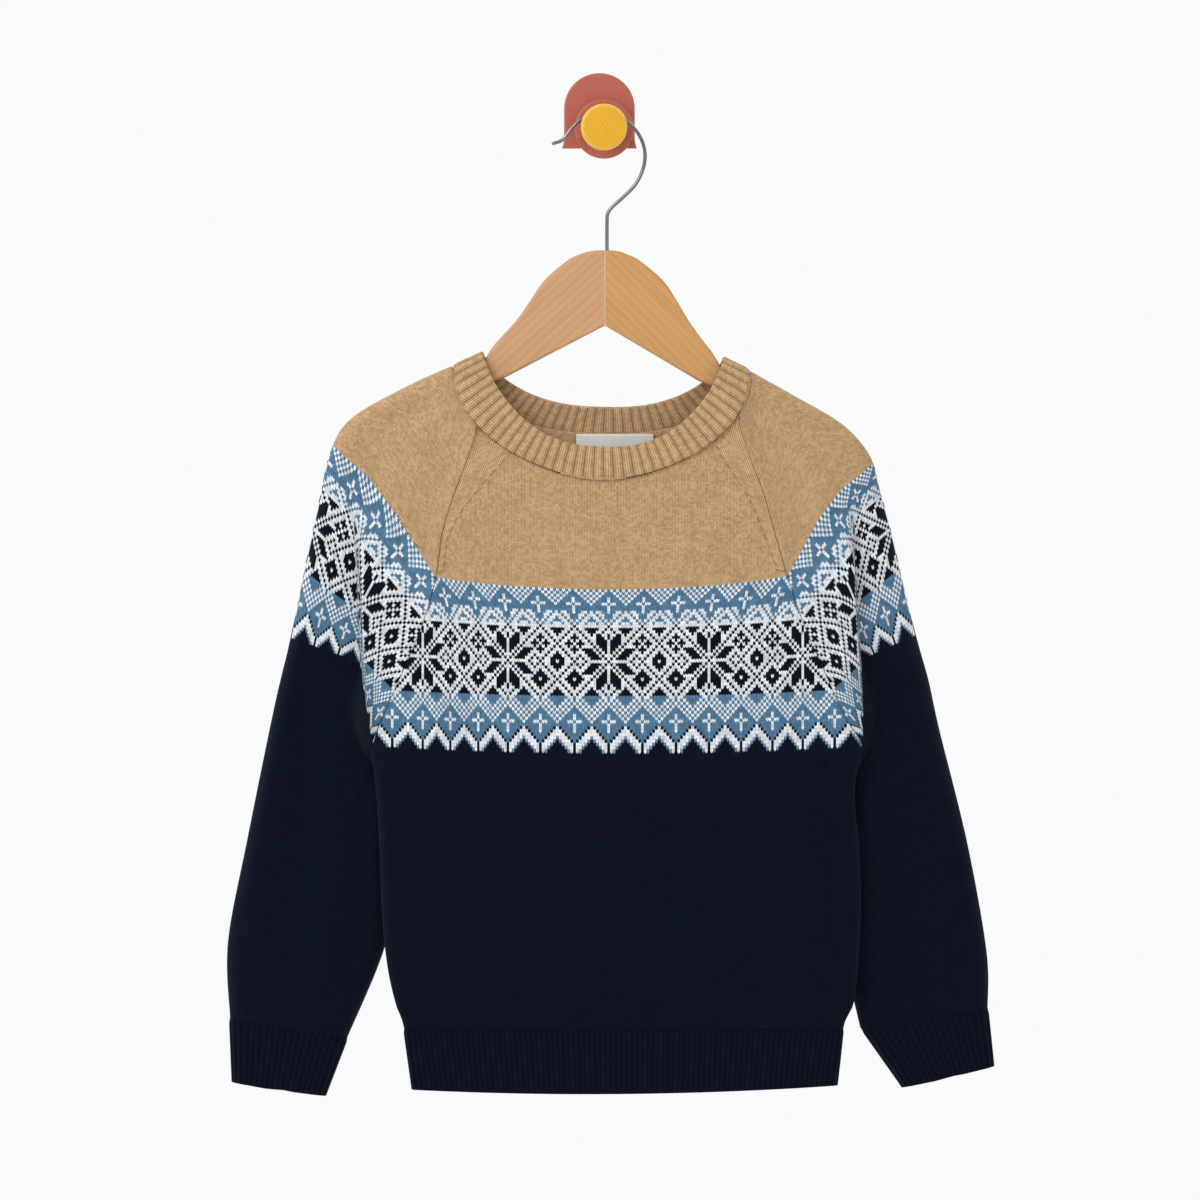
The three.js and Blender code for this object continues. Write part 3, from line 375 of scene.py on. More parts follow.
def sleeve_point(side, at, around):
    """Points of a sleeve: at is the row of its table, around runs from 0 at the front seam to 4."""
    at, around = np.broadcast_arrays(np.asarray(at, float), np.asarray(around, float))
    row = {name: column_at(SLEEVES[side], name, at) for name in SLEEVE_COLUMNS.split()}
    for axis in ("_x", "_y", "_z"):
        row["back" + axis] = np.where(at < UNDERARM_ROW, row["seam" + axis], row["back" + axis])
    part = np.clip(np.floor(around), 0, 3).astype(int)
    t = around - part

    def corner(axis, step):
        return np.choose(part + step, [row[name + axis] for name in CORNERS])

    x = mix(corner("_x", 0), corner("_x", 1), t)
    z = mix(corner("_z", 0), corner("_z", 1), t)

    def away(name):
        return np.hypot(x - row[name + "_x"], z - row[name + "_z"])

    is_open = smooth(at - UNDERARM_ROW)
    fold = rounded(away("out") / OUT_RADIUS)
    to_back, to_seam = away("back"), away("seam")
    end = mix(rounded(to_back / INNER_RADIUS), smooth(to_back / BACK_BLEND), is_open)
    rear = mix(row["out_y"], mix(row["back_y"], row["rest_y"], end), fold)
    between = mix(row["high_y"], row["low_y"], smooth(t))
    layer = np.choose(part, [row["high_y"], between, row["low_y"], row["low_y"]])
    start = mix(rounded(to_seam / INNER_RADIUS), smooth(to_seam / SEAM_BLEND), is_open)
    face = mix(row["out_y"], mix(row["seam_y"], layer, start), fold)
    folds = sum(f["deep"] * fold_weight(f, x, z) for f in SLEEVE_FOLDS[side])
    face = face + folds * smooth(np.minimum(away("out"), to_seam) / FOLD_FADE)
    points = np.stack([x, np.where(part == 3, rear, face), z], axis=-1)
    return follow_neck(side, at, around, points)


print("left sleeve reaches out to", sleeve_point("left", 0.0, 3.0).round(1))

# %% [markdown]
# A panel fills the space between its two side edges: the side seams below the underarm and the
# raglan seams above it. Its level counts up from the hem rib at -8 over the underarm at 0 to the
# neckband at 7, and at each level it runs across by x.

# %% Panel form
BODY_ROWS = 8
TOP_LEVEL = LAST_ROW - UNDERARM_ROW
SIDE_RADIUS = 6
CORNER = dict(z=-425.5, height=8.5, out=1.9)  # where the body reaches out, below the underarm
EDGE_INSET = 0.36
HEM_BOW = 3
HEM_BOW_RISE = 120
EDGE_SHIFT = {"front": -SEAM_GAP / 2, "back": SEAM_GAP / 2}
DEPTH = {"front": front_depth, "back": back_depth}
RAGLAN = {"front": 0, "back": 4}


def side_edge(side, face, level):
    """The side seam below the underarm, the raglan seam above it."""
    z = mix(HEM_TOP_Z, UNDERARM_Z, np.clip(level / BODY_ROWS + 1, 0, 1))
    x = column_at(BODY_SIDE, side, row_where(BODY_SIDE, "z", z))
    seam = np.stack([x, np.full_like(x, SIDE_FOLD_Y), z], axis=-1)
    raglan = sleeve_point(side, UNDERARM_ROW + np.maximum(level, 0), RAGLAN[face])
    return np.where(level[..., None] > 0, raglan, seam)


def panel_span(face, level):
    """Both edges of a panel at a level, and where its cloth starts and ends across."""
    left, right = side_edge("left", face, level), side_edge("right", face, level)
    below = (left[..., 2] - CORNER["z"]) / CORNER["height"]
    inset = EDGE_INSET - CORNER["out"] * np.maximum(0, 1 - below**2)
    return left, right, left[..., 0] + inset, right[..., 0] - inset


def neck_height(face, x):
    u = np.clip((x - NECK["sewn"]["middle"]) / NECK["sewn"]["half"], -1, 1)
    return neck_point(NECK["sewn"], face, u)[..., 2] - NECK_CLEAR


def panel_point(face, level, x):
    level, x = np.broadcast_arrays(np.asarray(level, float), np.asarray(x, float))
    left, right, start, end = panel_span(face, level)
    x = np.clip(x, start, end)
    u = (x - start) / (end - start)
    rise = np.clip(level / TOP_LEVEL, 0, 1)
    height = mix(left[..., 2], right[..., 2], u)
    top = np.full_like(level, TOP_LEVEL)
    top_left, top_right = side_edge("left", face, top), side_edge("right", face, top)
    top_x, top_z = (mix(top_left[..., k], top_right[..., k], u) for k in (0, 2))
    dip = np.minimum(0, neck_height(face, top_x) - top_z) * rise**3
    bow = -HEM_BOW * (1 - (2 * u - 1) ** 2) * smooth((height - HEM_TOP_Z) / HEM_BOW_RISE) * (1 - rise)
    z = height + bow + dip
    edge = mix(left[..., 1], right[..., 1], u) + EDGE_SHIFT[face]
    fold = rounded(np.minimum(x - start, end - x) / SIDE_RADIUS)
    return np.stack([x, mix(edge, DEPTH[face](x, z), fold), z], axis=-1)


print("front at the middle of the chest", panel_point("front", 0.0, CENTRE_X).round(1))

# %% [markdown]
# Small node helpers keep the materials short. Every constant is set on a socket, so the materials
# can be read and changed one value at a time.

# %% Material helpers
def linear(red, green, blue):
    """A colour given as it looks, 0 to 255, in the linear values that the shaders use."""
    def channel(value):
        share = value / 255
        return share / 12.92 if share <= 0.04045 else ((share + 0.055) / 1.055) ** 2.4
    return (channel(red), channel(green), channel(blue), 1.0)


class Shader:
    """A new material's nodes, joined by short calls."""

    def __init__(self, name):
        self.material = bpy.data.materials.new(name)
        self.material.use_nodes = True
        self.nodes = self.material.node_tree.nodes
        self.links = self.material.node_tree.links
        self.surface = self.nodes["Principled BSDF"]

    def put(self, socket, value):
        if isinstance(value, bpy.types.NodeSocket):
            self.links.new(value, socket)
        else:
            socket.default_value = value

    def add(self, kind, inputs, **settings):
        node = self.nodes.new("ShaderNode" + kind)
        for name, value in settings.items():
            setattr(node, name, value)
        for key, value in inputs.items():
            self.put(node.inputs[key], value)
        return node

    def math(self, operation, first, second=0.0):
        return self.add("Math", {0: first, 1: second}, operation=operation).outputs[0]

    def noise(self, place, scale, detail=2.0, roughness=0.5):
        values = {"Vector": place, "Scale": scale, "Detail": detail, "Roughness": roughness}
        return self.add("TexNoise", values).outputs["Fac"]

    def between(self, value, low, high):
        """A value of 0 to 1 carried to the range low to high."""
        return self.math("ADD", self.math("MULTIPLY", value, high - low), low)

    def scaled(self, colour, factor):
        """A colour made lighter or darker by a factor."""
        start = colour if isinstance(colour, bpy.types.NodeSocket) else colour[:3]
        node = self.add("VectorMath", {0: start}, operation="SCALE")
        self.put(node.inputs["Scale"], factor)
        return node.outputs[0]

    def blend(self, factor, first, second):
        node = self.add("Mix", {0: factor, 6: first, 7: second}, data_type="RGBA")
        return node.outputs[2]

    def place(self, scale=(1, 1, 1), rotation=(0, 0, 0)):
        """The object's own coordinates, stretched or turned."""
        here = self.add("TexCoord", {}).outputs["Object"]
        return self.add("Mapping", {"Vector": here, "Scale": scale, "Rotation": rotation}).outputs[0]

    def stretch(self, place, scale):
        """Stretches a place that has been turned already."""
        return self.add("Mapping", {"Vector": place, "Scale": scale}).outputs[0]

    def bump(self, height, depth):
        """Raises the surface by up to a depth in metres."""
        relief = self.add("Bump", {"Height": height, "Distance": depth}).outputs[0]
        self.put(self.surface.inputs["Normal"], relief)

    def finish(self, **values):
        """Sets the named sockets of the surface and gives back the material."""
        for name, value in values.items():
            self.put(self.surface.inputs[name.replace("_", " ").title().replace("Ior", "IOR")], value)
        return self.material


# %% [markdown]
# The yarn material draws single stitches. Each point of the cloth carries its stitch column and its
# row. A knit stitch is a V: two slanting legs that meet in its middle half a row lower. The shader
# raises both legs and sinks the space between them, and paints that space, the valleys of the ribs
# and the fashioning marks darker, as painted shade. It also gives every stitch a slightly different
# tone and a haze of loose fibres.

# %% Yarn material
YARNS = {
    "C": linear(180, 147, 108),
    "N": linear(7, 13, 27),
    "B": linear(76, 112, 140),
    "W": linear(208, 213, 217),
    "K": linear(11, 12, 22),
    "G": linear(98, 120, 142),
}
FIBRE_SCALE = 2600.0
CLOUD_SCALE = 90.0
MARK_ROWS = 4.0  # a fashioning mark stands in every fourth row
MARK_LENGTH = 0.55
FUZZ = (0.5, 0.6, 0.8, 1.0)


def yarn_material(name, heather, depth):
    """heather says how much the yarn's shade varies, depth how far its stitches stand out, in mm."""
    shader = Shader(name)
    stitch = shader.add("Attribute", {}, attribute_name="stitch").outputs["Vector"]
    slant = shader.add("Attribute", {}, attribute_name="slant").outputs["Vector"]
    yarn = shader.add("Attribute", {}, attribute_name="yarn").outputs["Color"]
    slanted = shader.add("SeparateXYZ", {0: slant})
    beside = shader.math("LESS_THAN", slanted.outputs[2], 0.0)
    chosen = shader.add("Mix", {0: beside, 4: stitch, 5: slant}, data_type="VECTOR").outputs[1]
    split = shader.add("SeparateXYZ", {0: chosen})
    column, row = split.outputs[0], split.outputs[1]
    crest = shader.add("SeparateXYZ", {0: stitch}).outputs[2]
    line = shader.math("SUBTRACT", 1.0, shader.math("ABSOLUTE", slanted.outputs[2]))
    step = shader.math("FRACT", shader.math("DIVIDE", slanted.outputs[1], MARK_ROWS))
    knot = shader.math("GREATER_THAN", step, 1 - MARK_LENGTH)
    mark = shader.math("MULTIPLY", shader.math("MAXIMUM", line, 0.0), knot)
    across = shader.math("FRACT", shader.math("ADD", column, 0.5))
    side = shader.math("MULTIPLY", shader.math("ABSOLUTE", shader.math("SUBTRACT", across, 0.5)), 2.0)
    sunk = shader.math("ADD", row, shader.math("MULTIPLY", shader.math("SUBTRACT", side, 1.0), 0.5))
    along = shader.math("FRACT", sunk)

    def hill(value):
        """0 at both ends of 0 to 1 and 1 in the middle."""
        centred = shader.math("SUBTRACT", shader.math("MULTIPLY", value, 2.0), 1.0)
        return shader.math("SUBTRACT", 1.0, shader.math("MULTIPLY", centred, centred))

    leg = shader.math("SQRT", hill(side))
    loop = shader.math("SQRT", hill(along))
    relief = shader.math("MULTIPLY", leg, shader.between(loop, 0.5, 1.0))
    here = shader.place()
    fibres = shader.noise(here, FIBRE_SCALE, detail=2.0, roughness=0.6)
    clouds = shader.noise(here, CLOUD_SCALE, detail=3.0, roughness=0.6)
    floor_column = shader.math("FLOOR", shader.math("ADD", column, 0.5))
    cell = shader.add("CombineXYZ", {0: floor_column, 1: shader.math("FLOOR", sunk)}).outputs[0]
    single = shader.add("TexWhiteNoise", {"Vector": cell}, noise_dimensions="3D").outputs["Value"]
    # Painted shade: the space between the legs of a stitch is darker than the legs.
    shade = shader.between(relief, 0.4, 1.24)
    # Painted shade also in the valleys of the ribs (crest) and at the fashioning marks (mark); fibres,
    # single and clouds vary the yarn's own tone.
    for value, low, high in (
        (fibres, 0.78, 1.22), (crest, 0.5, 1.0), (mark, 1.0, 0.62),
        (single, 1 - heather, 1 + heather), (clouds, 1 - heather, 1 + heather),
    ):
        shade = shader.math("MULTIPLY", shade, shader.between(value, low, high))
    height = shader.math("ADD", relief, shader.math("MULTIPLY", fibres, 0.35))
    height = shader.math("ADD", height, shader.math("MULTIPLY", mark, 0.8))
    shader.bump(height, depth * MM)
    return shader.finish(
        base_color=shader.scaled(yarn, shade), roughness=0.95, sheen_weight=0.2, sheen_roughness=0.5,
        sheen_tint=shader.blend(0.3, yarn, FUZZ), specular_ior_level=0.04,
    )


PANEL_YARN = yarn_material("panel_yarn", 0.17, 0.5)
CAMEL_RIB = yarn_material("camel_rib_yarn", 0.14, 0.35)
NAVY_RIB = yarn_material("navy_rib_yarn", 0.1, 0.35)
print(len(YARNS), "yarns")

# %% [markdown]
# The chest band is three traditional borders, given as charts: a small zigzag over crosses, a
# lattice of stars and lozenges, and a wider zigzag that fades into the navy. Each line of the chart
# is half a repeat, from its middle column outwards, because every motif is the same on both sides.

# %% Band chart
UPPER_BORDER = """
BWBWBWB BBWBWBW BBBWBWB WBBBWBW WBBBBWB BWWBBBW WBBBBBB
WBBBBBB WBBWWBW BBWWBWW BBWBWWB BWBWWBB WBWWBWW
""".split()
STAR_LATTICE = """
KWWWWWWWKWWWKWWWKKW
WKWKKKKWWKWKWKWWKKK
WWKWKKKKWWKWWWKWWKK
WKWKWKKKKWWWKWWKWWK
WKKWKWKKKKWKKKWWKWW
WKKKWKWWWWKWKWKWWKW
WKKKKWKWWKKKWKKKWWK
WKKKKWWKWWKWKWKWWKW
KWKKKWWWKWWKKKWWKWW
KWWKKWKWWKWWKWWKWWK
WWKWWKKKWWKWWWKWWKK
WKWWKKKKKWWKWKWWKKK
KWWWWWWWWWWWKWWWWWW
""".split()
LOWER_BORDER = """
BWWBBBB BWBWBBB WBWBWBB BWBWBWB BBWBWBW BBBWBWB WBBBWBW WBBBBWB BWWBBBW
WBBBBBB WBBBBNW WBBBNWW BBBNWWW BBNWWWG BNWWWGN NWWWGNN NWWGNNN NWGNNNN
""".split()
UPPER_ROWS = 13
STAR_ROW = 25
LOWER_ROW = 37
BAND_ROWS = 55
LOW_DOTS = ((11, 13), (5, 7))  # dark stitches of the lower lozenges, which have a single dot


def chart(column, row):
    """The yarn of a stitch of the band, as a letter."""
    near = abs((column + 6) % 12 - 6)
    if row < UPPER_ROWS:
        return UPPER_BORDER[row][near]
    if row >= LOWER_ROW:
        return LOWER_BORDER[row - LOWER_ROW][near]
    far = abs((column + 18) % 36 - 18)
    away = abs(row - STAR_ROW)
    if row > STAR_ROW and far in LOW_DOTS[0] and away in LOW_DOTS[1]:
        return "K"
    return STAR_LATTICE[away][far]


print(chart(0, STAR_ROW), "in the middle of a star")

# %% [markdown]
# Cloth is collected row by row. Two rows are joined by faces with four corners where their stitches
# agree, and by triangles where one has more stitches than the other, as at a raglan seam where the
# knitter takes stitches off. A solidify modifier then gives the sheet its thickness inwards.

# %% Cloth builder
NO_SLANT = (0.0, 0.0, 9.0)


def add_object(name, points, faces, material):
    """A new piece from points in millimetres, riding on the body."""
    mesh = bpy.data.meshes.new(name)
    mesh.from_pydata((np.asarray(points) * MM).tolist(), [], faces)
    mesh.shade_smooth()
    mesh.materials.append(material)
    piece = bpy.data.objects.new(name, mesh)
    bpy.context.scene.collection.objects.link(piece)
    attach(piece, "root")
    return piece


def paint(piece, stitches, yarns, slants=None):
    """Gives each point its stitch column, row and rib height, and each face its yarn. The shader
    darkens the rib valleys by the rib height, as painted shade.

    slants holds the column and row of the slanted stitches beside a raglan seam, and how far a point
    lies past the line of marks where they end.
    """
    mesh = piece.data
    if slants is None:
        slants = [NO_SLANT] * len(stitches)
    for name, values in (("stitch", stitches), ("slant", slants)):
        layer = mesh.attributes.new(name, "FLOAT_VECTOR", "POINT")
        layer.data.foreach_set("vector", np.asarray(values, float).ravel())
    yarn = mesh.color_attributes.new("yarn", "FLOAT_COLOR", "CORNER")
    corners = np.array([len(face.vertices) for face in mesh.polygons])
    colours = np.repeat(np.array([YARNS[letter] for letter in yarns]), corners, axis=0)
    yarn.data.foreach_set("color", colours.ravel())


class Cloth:
    """Rows of points joined into one sheet, with a stitch place and a yarn for the shader."""

    def __init__(self, seen_left_to_right):
        self.seen_left_to_right = seen_left_to_right
        self.points = []
        self.stitches = []
        self.slants = []
        self.faces = []
        self.yarns = []

    def row(self, points, columns, rows, closed=False, slants=None):
        """Keeps a line of points. A closed line ends at its own first point."""
        first = len(self.points)
        count = len(points)
        self.points.extend(points)
        self.stitches.extend((column, row, 1.0) for column, row in zip(columns, rows))
        self.slants.extend([NO_SLANT] * count if slants is None else slants)
        index = list(range(first, first + count))
        if closed:
            index[-1] = first
        return index, list(columns)

    def face(self, corners, yarn):
        """Keeps a face of three or four different corners."""
        kept = [c for i, c in enumerate(corners) if c != corners[i - 1]]
        if len(set(kept)) > 2:
            self.faces.append(kept if self.seen_left_to_right else kept[::-1])
            self.yarns.append(yarn)

    def join(self, upper, lower, yarn_at, by_place=True):
        """Joins two rows. yarn_at names the yarn at a stitch column."""
        (a, a_keys), (b, b_keys) = upper, lower
        if not by_place:
            a_keys = b_keys = range(len(a))
        i = j = 0
        while i < len(a) - 1 or j < len(b) - 1:
            next_a = a_keys[i + 1] if i < len(a) - 1 else math.inf
            next_b = b_keys[j + 1] if j < len(b) - 1 else math.inf
            both_last = i == len(a) - 2 and j == len(b) - 2
            step_a = both_last or next_a <= next_b + 1e-6
            step_b = both_last or next_b <= next_a + 1e-6
            end_i, end_j = i + int(step_a), j + int(step_b)
            places = (upper[1][i], upper[1][end_i], lower[1][j], lower[1][end_j])
            self.face([b[j], b[end_j], a[end_i], a[i]], yarn_at(sum(places) / 4))
            i, j = end_i, end_j

    def knit(self, yoke, band, body):
        """Joins the camel lines, the lines of the band and the navy lines, from the top down."""
        for upper, lower in zip(yoke, yoke[1:]):
            self.join(upper, lower, lambda place: "C", by_place=False)
        self.join(yoke[-1], band[0], lambda place: "C")
        for row in range(BAND_ROWS):
            self.join(band[row], band[row + 1], lambda place, row=row: chart(round(place), row))
        self.join(band[-1], body[0], lambda place: "N")
        for upper, lower in zip(body, body[1:]):
            self.join(upper, lower, lambda place: "N", by_place=False)

    def piece(self, name, material):
        """Makes the sheet and its thickness."""
        made = add_object(name, self.points, self.faces, material)
        paint(made, self.stitches, self.yarns, self.slants)
        shell = made.modifiers.new("cloth", "SOLIDIFY")
        shell.thickness = CLOTH * MM
        shell.offset = -1
        return made


# %% [markdown]
# Front and back are knitted from the hem up. In the band every stitch gets its own faces, whose
# middle lies half a row lower, so that two yarns meet in the small V steps of real knitting. The
# plain parts need only coarse rows, because the shader draws their stitches.

# %% Stitch places
STITCH_PLACES = table("x", [(-173.6,), (-119.6,), (-63.4,), (3.1,), (69.3,), (131.2,), (187,)])
PLACE_STEP = 36
FIRST_PLACE = -108
BAND_CENTRE = 3.1
BAND_WIDEN = 0.06
BAND_SINK = ((0, 25, 37, 55), (0, 0.03, 0.03, 0.08))  # levels, at rows of the band
BAND_TOP_ROW = 9


def stitch_x(column, row):
    """Where a stitch column lies across. The band is a little wider at its top."""
    base = column_at(STITCH_PLACES, "x", (column - FIRST_PLACE) / PLACE_STEP)
    widened = 1 + BAND_WIDEN * (1 - np.clip(row / UPPER_ROWS, 0, 1))
    return BAND_CENTRE + (base - BAND_CENTRE) * widened


def stitch_column(x, row):
    """The stitch column at a place across, the other way round."""
    columns = np.linspace(FIRST_PLACE, -FIRST_PLACE, 400)
    return np.interp(x, stitch_x(columns, row), columns)


def seam_place(side, row):
    """The row of the sleeve's table where a row of the band meets the raglan seam."""
    top = SLEEVES[side]["seam_z"][BAND_TOP_ROW]
    return row_where(SLEEVES[side], "seam_z", mix(top, UNDERARM_Z, row / BAND_ROWS))


def band_ends(face, row):
    """Where a row of the band starts and ends across, and its level at both ends."""
    left, right = (seam_place(side, row) - UNDERARM_ROW for side in ("left", "right"))
    return panel_span(face, left)[2], panel_span(face, right)[3], left, right


def band_level(face, row, x):
    """The panel's level at a row of the band, which sinks a little in the middle."""
    start, end, left, right = band_ends(face, np.asarray(row, float))
    u = np.clip((x - start) / (end - start), 0, 1)
    sink = np.interp(row, *BAND_SINK)
    return mix(left, right, u) - sink * (1 - (2 * u - 1) ** 2)


foot_start, foot_end, _, _ = band_ends("front", np.array(float(BAND_ROWS)))
print("foot of the band from", foot_start.round(1), "to", foot_end.round(1), "mm")

# %% [markdown]
# Above the band the stitches beside each raglan seam slant along the seam, and a line of fashioning
# marks divides them from the upright ones, as in the real yoke. A panel is a list of lines from the
# neckband down to the hem rib, each joined to the next.

# %% Panels
PLAIN_PITCH = 1.4
FOLD_SHARES = (0, 0.03, 0.1, 0.22, 0.4, 0.65, 1)
PANEL_COLUMNS = 84
YOKE_STEPS = 24
BODY_STEPS = 42
SLANT_WIDTHS = {  # width of the slanted stitches beside the seam, by height
    "left": ((-300, -281, -263, -242, -225), (3.5, 3.5, 8, 15, 22.6)),
    "right": ((-300, -267, -251, -238, -225), (5, 7.7, 9.6, 12, 15)),
}
SLANT_PITCH = 1.9
SLANT_COS = 0.94
SLANT_SIN = 0.34


def band_line(cloth, face, row):
    """The points of one row's upper edge, with two to each stitch."""
    start, end, _, _ = band_ends(face, np.array(float(row)))
    first, last = stitch_column(start, row), stitch_column(end, row)
    halves = np.arange(math.ceil(2 * first + 0.3), math.floor(2 * last - 0.3) + 1)
    columns = np.concatenate([[first], halves / 2, [last]])
    rows = row + np.concatenate([[0], np.where(halves % 2 == 0, 0.5, 0), [0]])
    x = stitch_x(columns, row)
    x[0], x[-1] = start, end
    return cloth.row(panel_point(face, band_level(face, rows, x), x), columns, rows)


def slanted_stitches(points, start, end):
    """Beside a raglan seam the stitches run along the seam, up to a line of fashioning marks."""
    x, z = points[:, 0], points[:, 2]
    on_left = x < (start + end) / 2
    left_width, right_width = (np.interp(z, *SLANT_WIDTHS[side]) for side in ("left", "right"))
    width = np.where(on_left, left_width, right_width)
    away = np.where(on_left, x - start, end - x)
    columns = away * SLANT_COS / SLANT_PITCH
    rows = -(z - away * SLANT_SIN) / PLAIN_PITCH
    return np.stack([columns, rows, away - width], axis=-1)


def plain_line(cloth, face, from_row, to_level, share):
    """A coarse line between an end of the band and the panel's edge at to_level."""
    u = np.linspace(0, 1, PANEL_COLUMNS)
    _, _, left, right = band_ends(face, np.array(float(from_row)))
    start = panel_span(face, mix(left, to_level, share))[2]
    end = panel_span(face, mix(right, to_level, share))[3]
    fold = np.array(FOLD_SHARES) * SIDE_RADIUS
    middle = mix(start + SIDE_RADIUS, end - SIDE_RADIUS, u)[1:-1]
    x = np.concatenate([start + fold, middle, end - fold[::-1]])
    points = panel_point(face, mix(band_level(face, from_row, x), to_level, share), x)
    band_z = panel_point(face, band_level(face, from_row, x), x)[:, 2]
    rows = from_row + (band_z - points[:, 2]) / PLAIN_PITCH
    slants = slanted_stitches(points, start, end) if to_level > 0 else None
    return cloth.row(points, stitch_column(x, from_row), rows, slants=slants)


def panel(face):
    cloth = Cloth(seen_left_to_right=face == "front")
    yoke = range(YOKE_STEPS, 0, -1)
    body = range(1, BODY_STEPS + 1)
    cloth.knit(
        [plain_line(cloth, face, 0, TOP_LEVEL, k / YOKE_STEPS) for k in yoke],
        [band_line(cloth, face, row) for row in range(BAND_ROWS + 1)],
        [plain_line(cloth, face, BAND_ROWS, -BODY_ROWS, k / BODY_STEPS) for k in body],
    )
    return cloth.piece(face + "_knit", PANEL_YARN)


front = panel("front")
back = panel("back")
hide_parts("front")
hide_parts("back")
print("front", len(front.data.polygons), "faces, back", len(back.data.polygons))

# %% [markdown]
# A sleeve carries the same band. Its pattern is centred on the outer fold, where a star stands, and
# the rows meet those of the body at both raglan seams. A few stitches disappear in the crease
# beside the body.

# %% Sleeve stitches
SLEEVE_PITCH = 2.15
OUTER_PITCH = 1.95
SEAM_STITCHES = (50, 30)  # from fold to seam at the band's top, and how many more at its foot
SEAM_FADE = (12, 20)  # rows above and below the band over which that count fades away
SPARE_SHARE = 0.3  # of the stitches that the crease takes in, the part on each side of it
ROW_PLACES = {  # rows of the sleeve's table at the band's top, star row and foot
    "left": dict(crease=(9.3, 7.06, 5.17), fold=(9.22, 7.4, 5.25)),
    "right": dict(crease=(9.1, 7.15, 5.17), fold=(8.8, 7.2, 5.2)),
}


def sleeve_knots(side, at, row):
    """The stitch columns at the corners of a section, counted from the outer fold."""
    section = {name: column_at(SLEEVES[side], name, at) for name in SLEEVE_COLUMNS.split()}

    def stitches(first, second, pitch):
        x, z = (section[first + axis] - section[second + axis] for axis in ("_x", "_z"))
        return math.hypot(x, z) / pitch

    outer = stitches("out", "low", OUTER_PITCH)
    crease = stitches("low", "high", SLEEVE_PITCH)
    inner = stitches("high", "seam", SLEEVE_PITCH)
    knitted = SEAM_STITCHES[0] + SEAM_STITCHES[1] * row / BAND_ROWS
    above, below = SEAM_FADE
    in_band = float(smooth(1 + row / above) * smooth(1 + (BAND_ROWS - row) / below))
    seam = mix(outer + crease + inner, knitted, in_band)
    spare = seam - outer - crease - inner
    outer, inner = outer + SPARE_SHARE * spare, inner + SPARE_SHARE * spare
    return [-seam, -(seam - inner), -outer, 0, seam]


def row_place(side, row, around):
    """The row of the sleeve's table at a row of the band, which differs round the sleeve."""
    share = row / BAND_ROWS
    middle = STAR_ROW / BAND_ROWS

    def through(values):
        first, second, third = values
        return (
            first * (share - middle) * (share - 1) / middle
            + second * share * (share - 1) / (middle * (middle - 1))
            + third * share * (share - middle) / (1 - middle)
        )

    seam = seam_place(side, row)
    crease, fold = through(ROW_PLACES[side]["crease"]), through(ROW_PLACES[side]["fold"])
    part = np.clip(np.floor(around), 0, 3).astype(int)
    t = around - part
    return np.choose(part, [mix(seam, crease, t), crease, mix(crease, fold, t), mix(fold, seam, t)])


print("left seam meets column", sleeve_knots("left", float(seam_place("left", STAR_ROW)), STAR_ROW)[-1])

# %% [markdown]
# A sleeve is joined in the same way as a panel. Above the underarm its lines run from one raglan
# seam to the other, and below it they close into rings. Points stand closer where the cloth turns.

# %% Sleeves
SLEEVE_LENGTHS = (248, 199, 129, 54, 24, 0)  # from the underarm down to each row of the table
YOKE_ROW_LENGTH = 35
SLEEVE_TOP_STEPS = 26
SLEEVE_LOW_STEPS = 56
SEAM_SHARES = (0, 0.05, 0.12, 0.22, 0.35, 0.5, 0.65, 0.8, 0.9)
CREASE_SHARES = (0, 0.15, 0.3, 0.45, 0.6, 0.75, 0.9)
OUTER_SHARES = (0, 0.1, 0.2, 0.3, 0.4, 0.5, 0.6, 0.7, 0.78, 0.84, 0.89, 0.93, 0.96, 0.98, 0.993)
BACK_SHARES = (
    0, 0.005, 0.015, 0.03, 0.05, 0.08, 0.12, 0.18, 0.26, 0.34, 0.42, 0.5, 0.58, 0.66, 0.74, 0.82, 0.88,
    0.93, 0.965, 0.99, 1,
)


def sleeve_band_line(cloth, side, row):
    """The upper edge of one row. Its lowered points keep their column in the row they reach."""
    knots, low_knots = (sleeve_knots(side, float(seam_place(side, r)), r) for r in (row, row + 0.5))
    first, last = knots[0], knots[-1]
    halves = np.arange(math.ceil(2 * first + 0.3), math.floor(2 * last - 0.3) + 1)
    columns = np.concatenate([[first], halves / 2, [last]])
    rows = row + np.concatenate([[0], np.where(halves % 2 == 0, 0.5, 0), [0]])
    on_edge, sunk = np.interp(columns, knots, range(5)), np.interp(columns, low_knots, range(5))
    around = np.where(rows > row, sunk, on_edge)
    points = sleeve_point(side, row_place(side, rows, around), around)
    return cloth.row(points, columns, rows, closed=row == BAND_ROWS)


def sleeve_plain_line(cloth, side, from_row, to_at, share):
    """A coarse line between an end of the band and the sleeve's end at to_at."""
    around = np.concatenate([np.array(shares) + part for part, shares in enumerate(
        (SEAM_SHARES, CREASE_SHARES, OUTER_SHARES, BACK_SHARES))])
    band_at = row_place(side, float(from_row), around)
    at = mix(band_at, to_at, share)
    places = np.interp(at, range(UNDERARM_ROW + 1), SLEEVE_LENGTHS)
    band_places = np.interp(band_at, range(UNDERARM_ROW + 1), SLEEVE_LENGTHS)
    yoke = YOKE_ROW_LENGTH * (at - band_at)
    lengths = -yoke if to_at > UNDERARM_ROW else places - band_places
    rows = from_row + lengths / PLAIN_PITCH
    columns = np.interp(around, range(5), sleeve_knots(side, float(np.mean(at)), float(np.mean(rows))))
    return cloth.row(sleeve_point(side, at, around), columns, rows, closed=to_at < UNDERARM_ROW)


